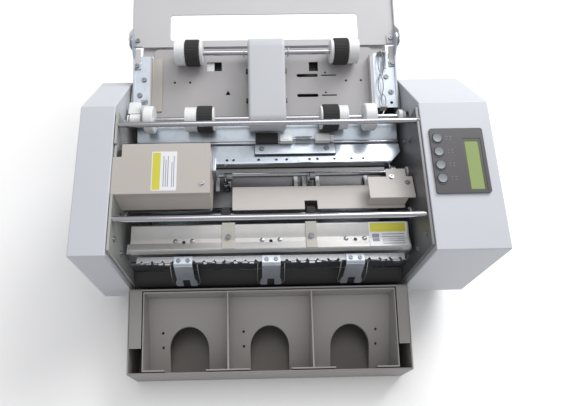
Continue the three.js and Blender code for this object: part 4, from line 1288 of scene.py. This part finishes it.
def cover():
    """Folded cover: two facets, a window over the rollers, turned side edges and hinge lugs."""
    bend = step(COVER_EDGE, COVER_SLOPE, COVER_REAR)
    tip = step(bend, COVER_SLOPE + TOP_SLOPE, COVER_FRONT)
    line = [COVER_EDGE, bend, tip]
    window = rounded(rect(-113, 113, 8.1, 41.7), 4)
    flat = rounded(rect(-COVER_HALF, COVER_HALF, 0, length_of(line) - 0.3), 1)
    skin = formed(plate(flat, [window], -SHEET, 0, edge=0.3), line, 4)
    up = COVER_SLOPE + math.pi / 2
    front_up = up + TOP_SLOPE
    lug = step(COVER_EDGE, COVER_SLOPE, -6)
    rim, lug_height = 2.5, 17
    flange = [step(COVER_EDGE, up, -0.5), step(bend, up, -0.5), step(tip, front_up, -0.5),
              step(tip, front_up, rim), step(bend, front_up, rim),
              step(step(COVER_EDGE, COVER_SLOPE, 24), up, rim),
              step(step(COVER_EDGE, COVER_SLOPE, 10), up, lug_height), step(lug, up, lug_height),
              step(lug, up, 6)]
    radii = [0.5, 0, 0.5, 0.5, 0, 6, 4, 4, 2]
    walls = [plate(rounded(flange, radii), [circle(*HINGE, 2.3, 20)],
                   *sorted((side * (COVER_HALF - SHEET), side * COVER_HALF)), ON_YZ, edge=0.25)
             for _, side in SIDES]
    piece("cover_sheet", both(skin, *walls), "cover", "painted_sheet", replaces=["top_cover"])
    on_cover = on_slope(*COVER_EDGE, COVER_SLOPE)
    lugs = []
    for x0, x1 in ((-156.3, -146.8), (146.8, 156.3)):
        lugs.append(prism(rounded(rect(x0, x1, 0.6, 12), 1.2), 0.1, 1.3, on_cover, edge=0.3))
    piece("cover_lugs", both(*lugs), "cover", "painted_sheet")
    spots = [tuple(on_cover @ Vector((x, 8, 1.3))) + (COVER_NORMAL,) for x in (-151.5, 151.5)]
    screws("cover_screws", "cover", spots, radius=2.3)
    pins = [turned(HINGE, [(side * 158.05, 0), (side * 158.05, 3.4), (side * 159, 3.0),
                           (side * 159.2, 0)], 28, 0.1)
            for _, side in SIDES]
    piece("hinge_pin_heads", both(*pins), "frame", "steel", "screw")


# ---------------------------------------------------------------- card tray
def tray():
    """Outer box with a stepped rim, and the insert with three sloping bays."""
    low, high = corners("tray_box")
    front, rear, front_z, rear_z = low.y, high.y, 51.2, high.z
    slope = math.atan2(rear_z - front_z, rear - front)
    outline = [(front, 0), (rear, 0), (rear, rear_z), (front, front_z)]
    wall = 1.8
    outer = prism(outline, low.x, high.x, ON_YZ, edge=0.9, segments=3)
    hollow = prism([(front + wall, wall), (rear - wall, wall), (rear - wall, 120),
                    (front + wall, 120)],
                   low.x + wall, high.x - wall, ON_YZ)
    box = boolean(outer, hollow)
    # a thin dark sheet on the box floor: painted shade that darkens the floor seen through the
    # arches
    floor_shade_sheet = prism(rounded(rect(low.x + 2.4, high.x - 2.4, front + 2.4, rear - 2.4), 2), 1.85, 2.3,
                  edge=0.1)
    piece("tray_floor_painted_shade", floor_shade_sheet, "tray", "tray_plastic", "tray_painted_shade")
    insert_low, insert_high = corners("tray_insert")
    on_rim = on_slope(front, front_z, slope)
    start = (-64 - front) / math.cos(slope)
    end = (rear - front) / math.cos(slope) - 1
    ledges = [prism(rect(low.x + 0.5, insert_low.x - 1, start, end), -SHEET, 0, on_rim, edge=0.3),
              prism(rect(insert_high.x + 1, high.x - 0.5, start, end), -SHEET, 0, on_rim, edge=0.3)]
    piece("tray_shell", both(box, *ledges), "tray", "tray_plastic", replaces=["tray_box"])

    y0, y1 = insert_low.y, insert_high.y
    wall = 1.5

    def rim(y):
        return front_z + (y - front) * math.tan(slope) - 0.5

    floor_front, floor_rear = (-87.5, 5), (-5.5, 57)
    block_line = [(y0, 2.4), (y0 + 6, 2.4), (y1, floor_rear[1] - 2), (y1, rim(y1)), (y0, rim(y0))]
    body = prism(block_line, insert_low.x, insert_high.x, ON_YZ, edge=0.7)
    room = [(y0 + wall, floor_front[1]), (y1 - wall, floor_rear[1]), (y1 - wall, 120),
            (y0 + wall, 120)]
    for i in BAYS:
        x0, x1 = i * BAY - BAY / 2 + wall / 2, i * BAY + BAY / 2 - wall / 2
        body = boolean(body, prism(room, x0, x1, ON_YZ))
    half, arch_y, steps = 23.2, -58.5, 28
    for i in BAYS:
        arch = [(i * BAY - half, -100), (i * BAY + half, -100)]
        arch += [(i * BAY + half * math.cos(t * math.pi / steps),
                  arch_y + half * math.sin(t * math.pi / steps))
                 for t in range(steps + 1)]
        body = boolean(body, prism(arch, -5, 120))
        for y in (-41.5, -56.5):
            body = boolean(body, upright(i * BAY + (31 if i > 0 else -31), y, -5, 100, 1.5, edge=0))
    soften(body, 0.35, 2, 50)
    piece("bay_insert", body, "insert", "tray_plastic", "insert_plastic", replaces=["tray_insert"])


# ---------------------------------------------------------------- springs and leads
def loop(centre_x, y0, y1, half, lift):
    """A long closed wire loop lying above the deck."""
    path = []
    for i in range(25):
        t = 2 * math.pi * i / 24
        y = (y0 + y1) / 2 + (y1 - y0) / 2 * math.sin(t)
        path.append((centre_x + half * math.cos(t) * (1.15 if abs(math.sin(t)) < 0.7 else 0.8), y,
                     deck_line(y) + lift))
    return path


def springs():
    """Wire links and their posts beside the feed deck."""
    links = [wire(loop(136, 219, 248, 2.8, 7), 0.55), wire(loop(134.6, 196, 221, 2.6, 6.4), 0.55),
             wire(loop(137, 183, 198, 2.2, 6), 0.55)]
    piece("right_links", both(*links), "frame", "steel", "screw")
    piece("right_return_spring",
          coil((141.5, 256, deck_line(250) + 6), (140.5, 224, deck_line(224) + 5), 1.5, 16,
                                      0.35), "frame", "steel")
    posts = [block(133.5, 141, 182.6, 185.4, deck_line(186) - 2, deck_line(186) + 6, edge=0.4),
             block(133, 143, 246.5, 248.5, deck_line(247) - 1, deck_line(247) + 7, edge=0.4)]
    piece("spring_posts", both(*posts), "frame", "zinc_sheet", "deck_paint")


def carried_nodes():
    """Gives every CAD node that still shows its procedural surface."""
    slots = {part["node"]: part["material_slot"] for part in frame["record"]["subparts"]}
    for name, node in frame["nodes"].items():
        node.data.materials.clear()
        node.data.materials.append(LOOKS[slots[name]])
        bevel = node.modifiers.new("edge", "BEVEL")
        bevel.width = 0.0003
        bevel.segments = 2
        bevel.limit_method = "ANGLE"
        bevel.angle_limit = math.radians(40)


studio()
carried_nodes()
housings()
side_plates()
bearings()
tie_rods()
base()
rear_and_front()
deck()
deck_rails()
paper_guides()
feed_shaft()
pickup_shaft()
pickup_arm()
separator()
cross_member()
slitters()
slitter_guard()
exit_guides()
exit_shaft()
gear_cover()
knife()
card_strip()
deflectors()
controls()
electrics()
cover()
tray()
springs()
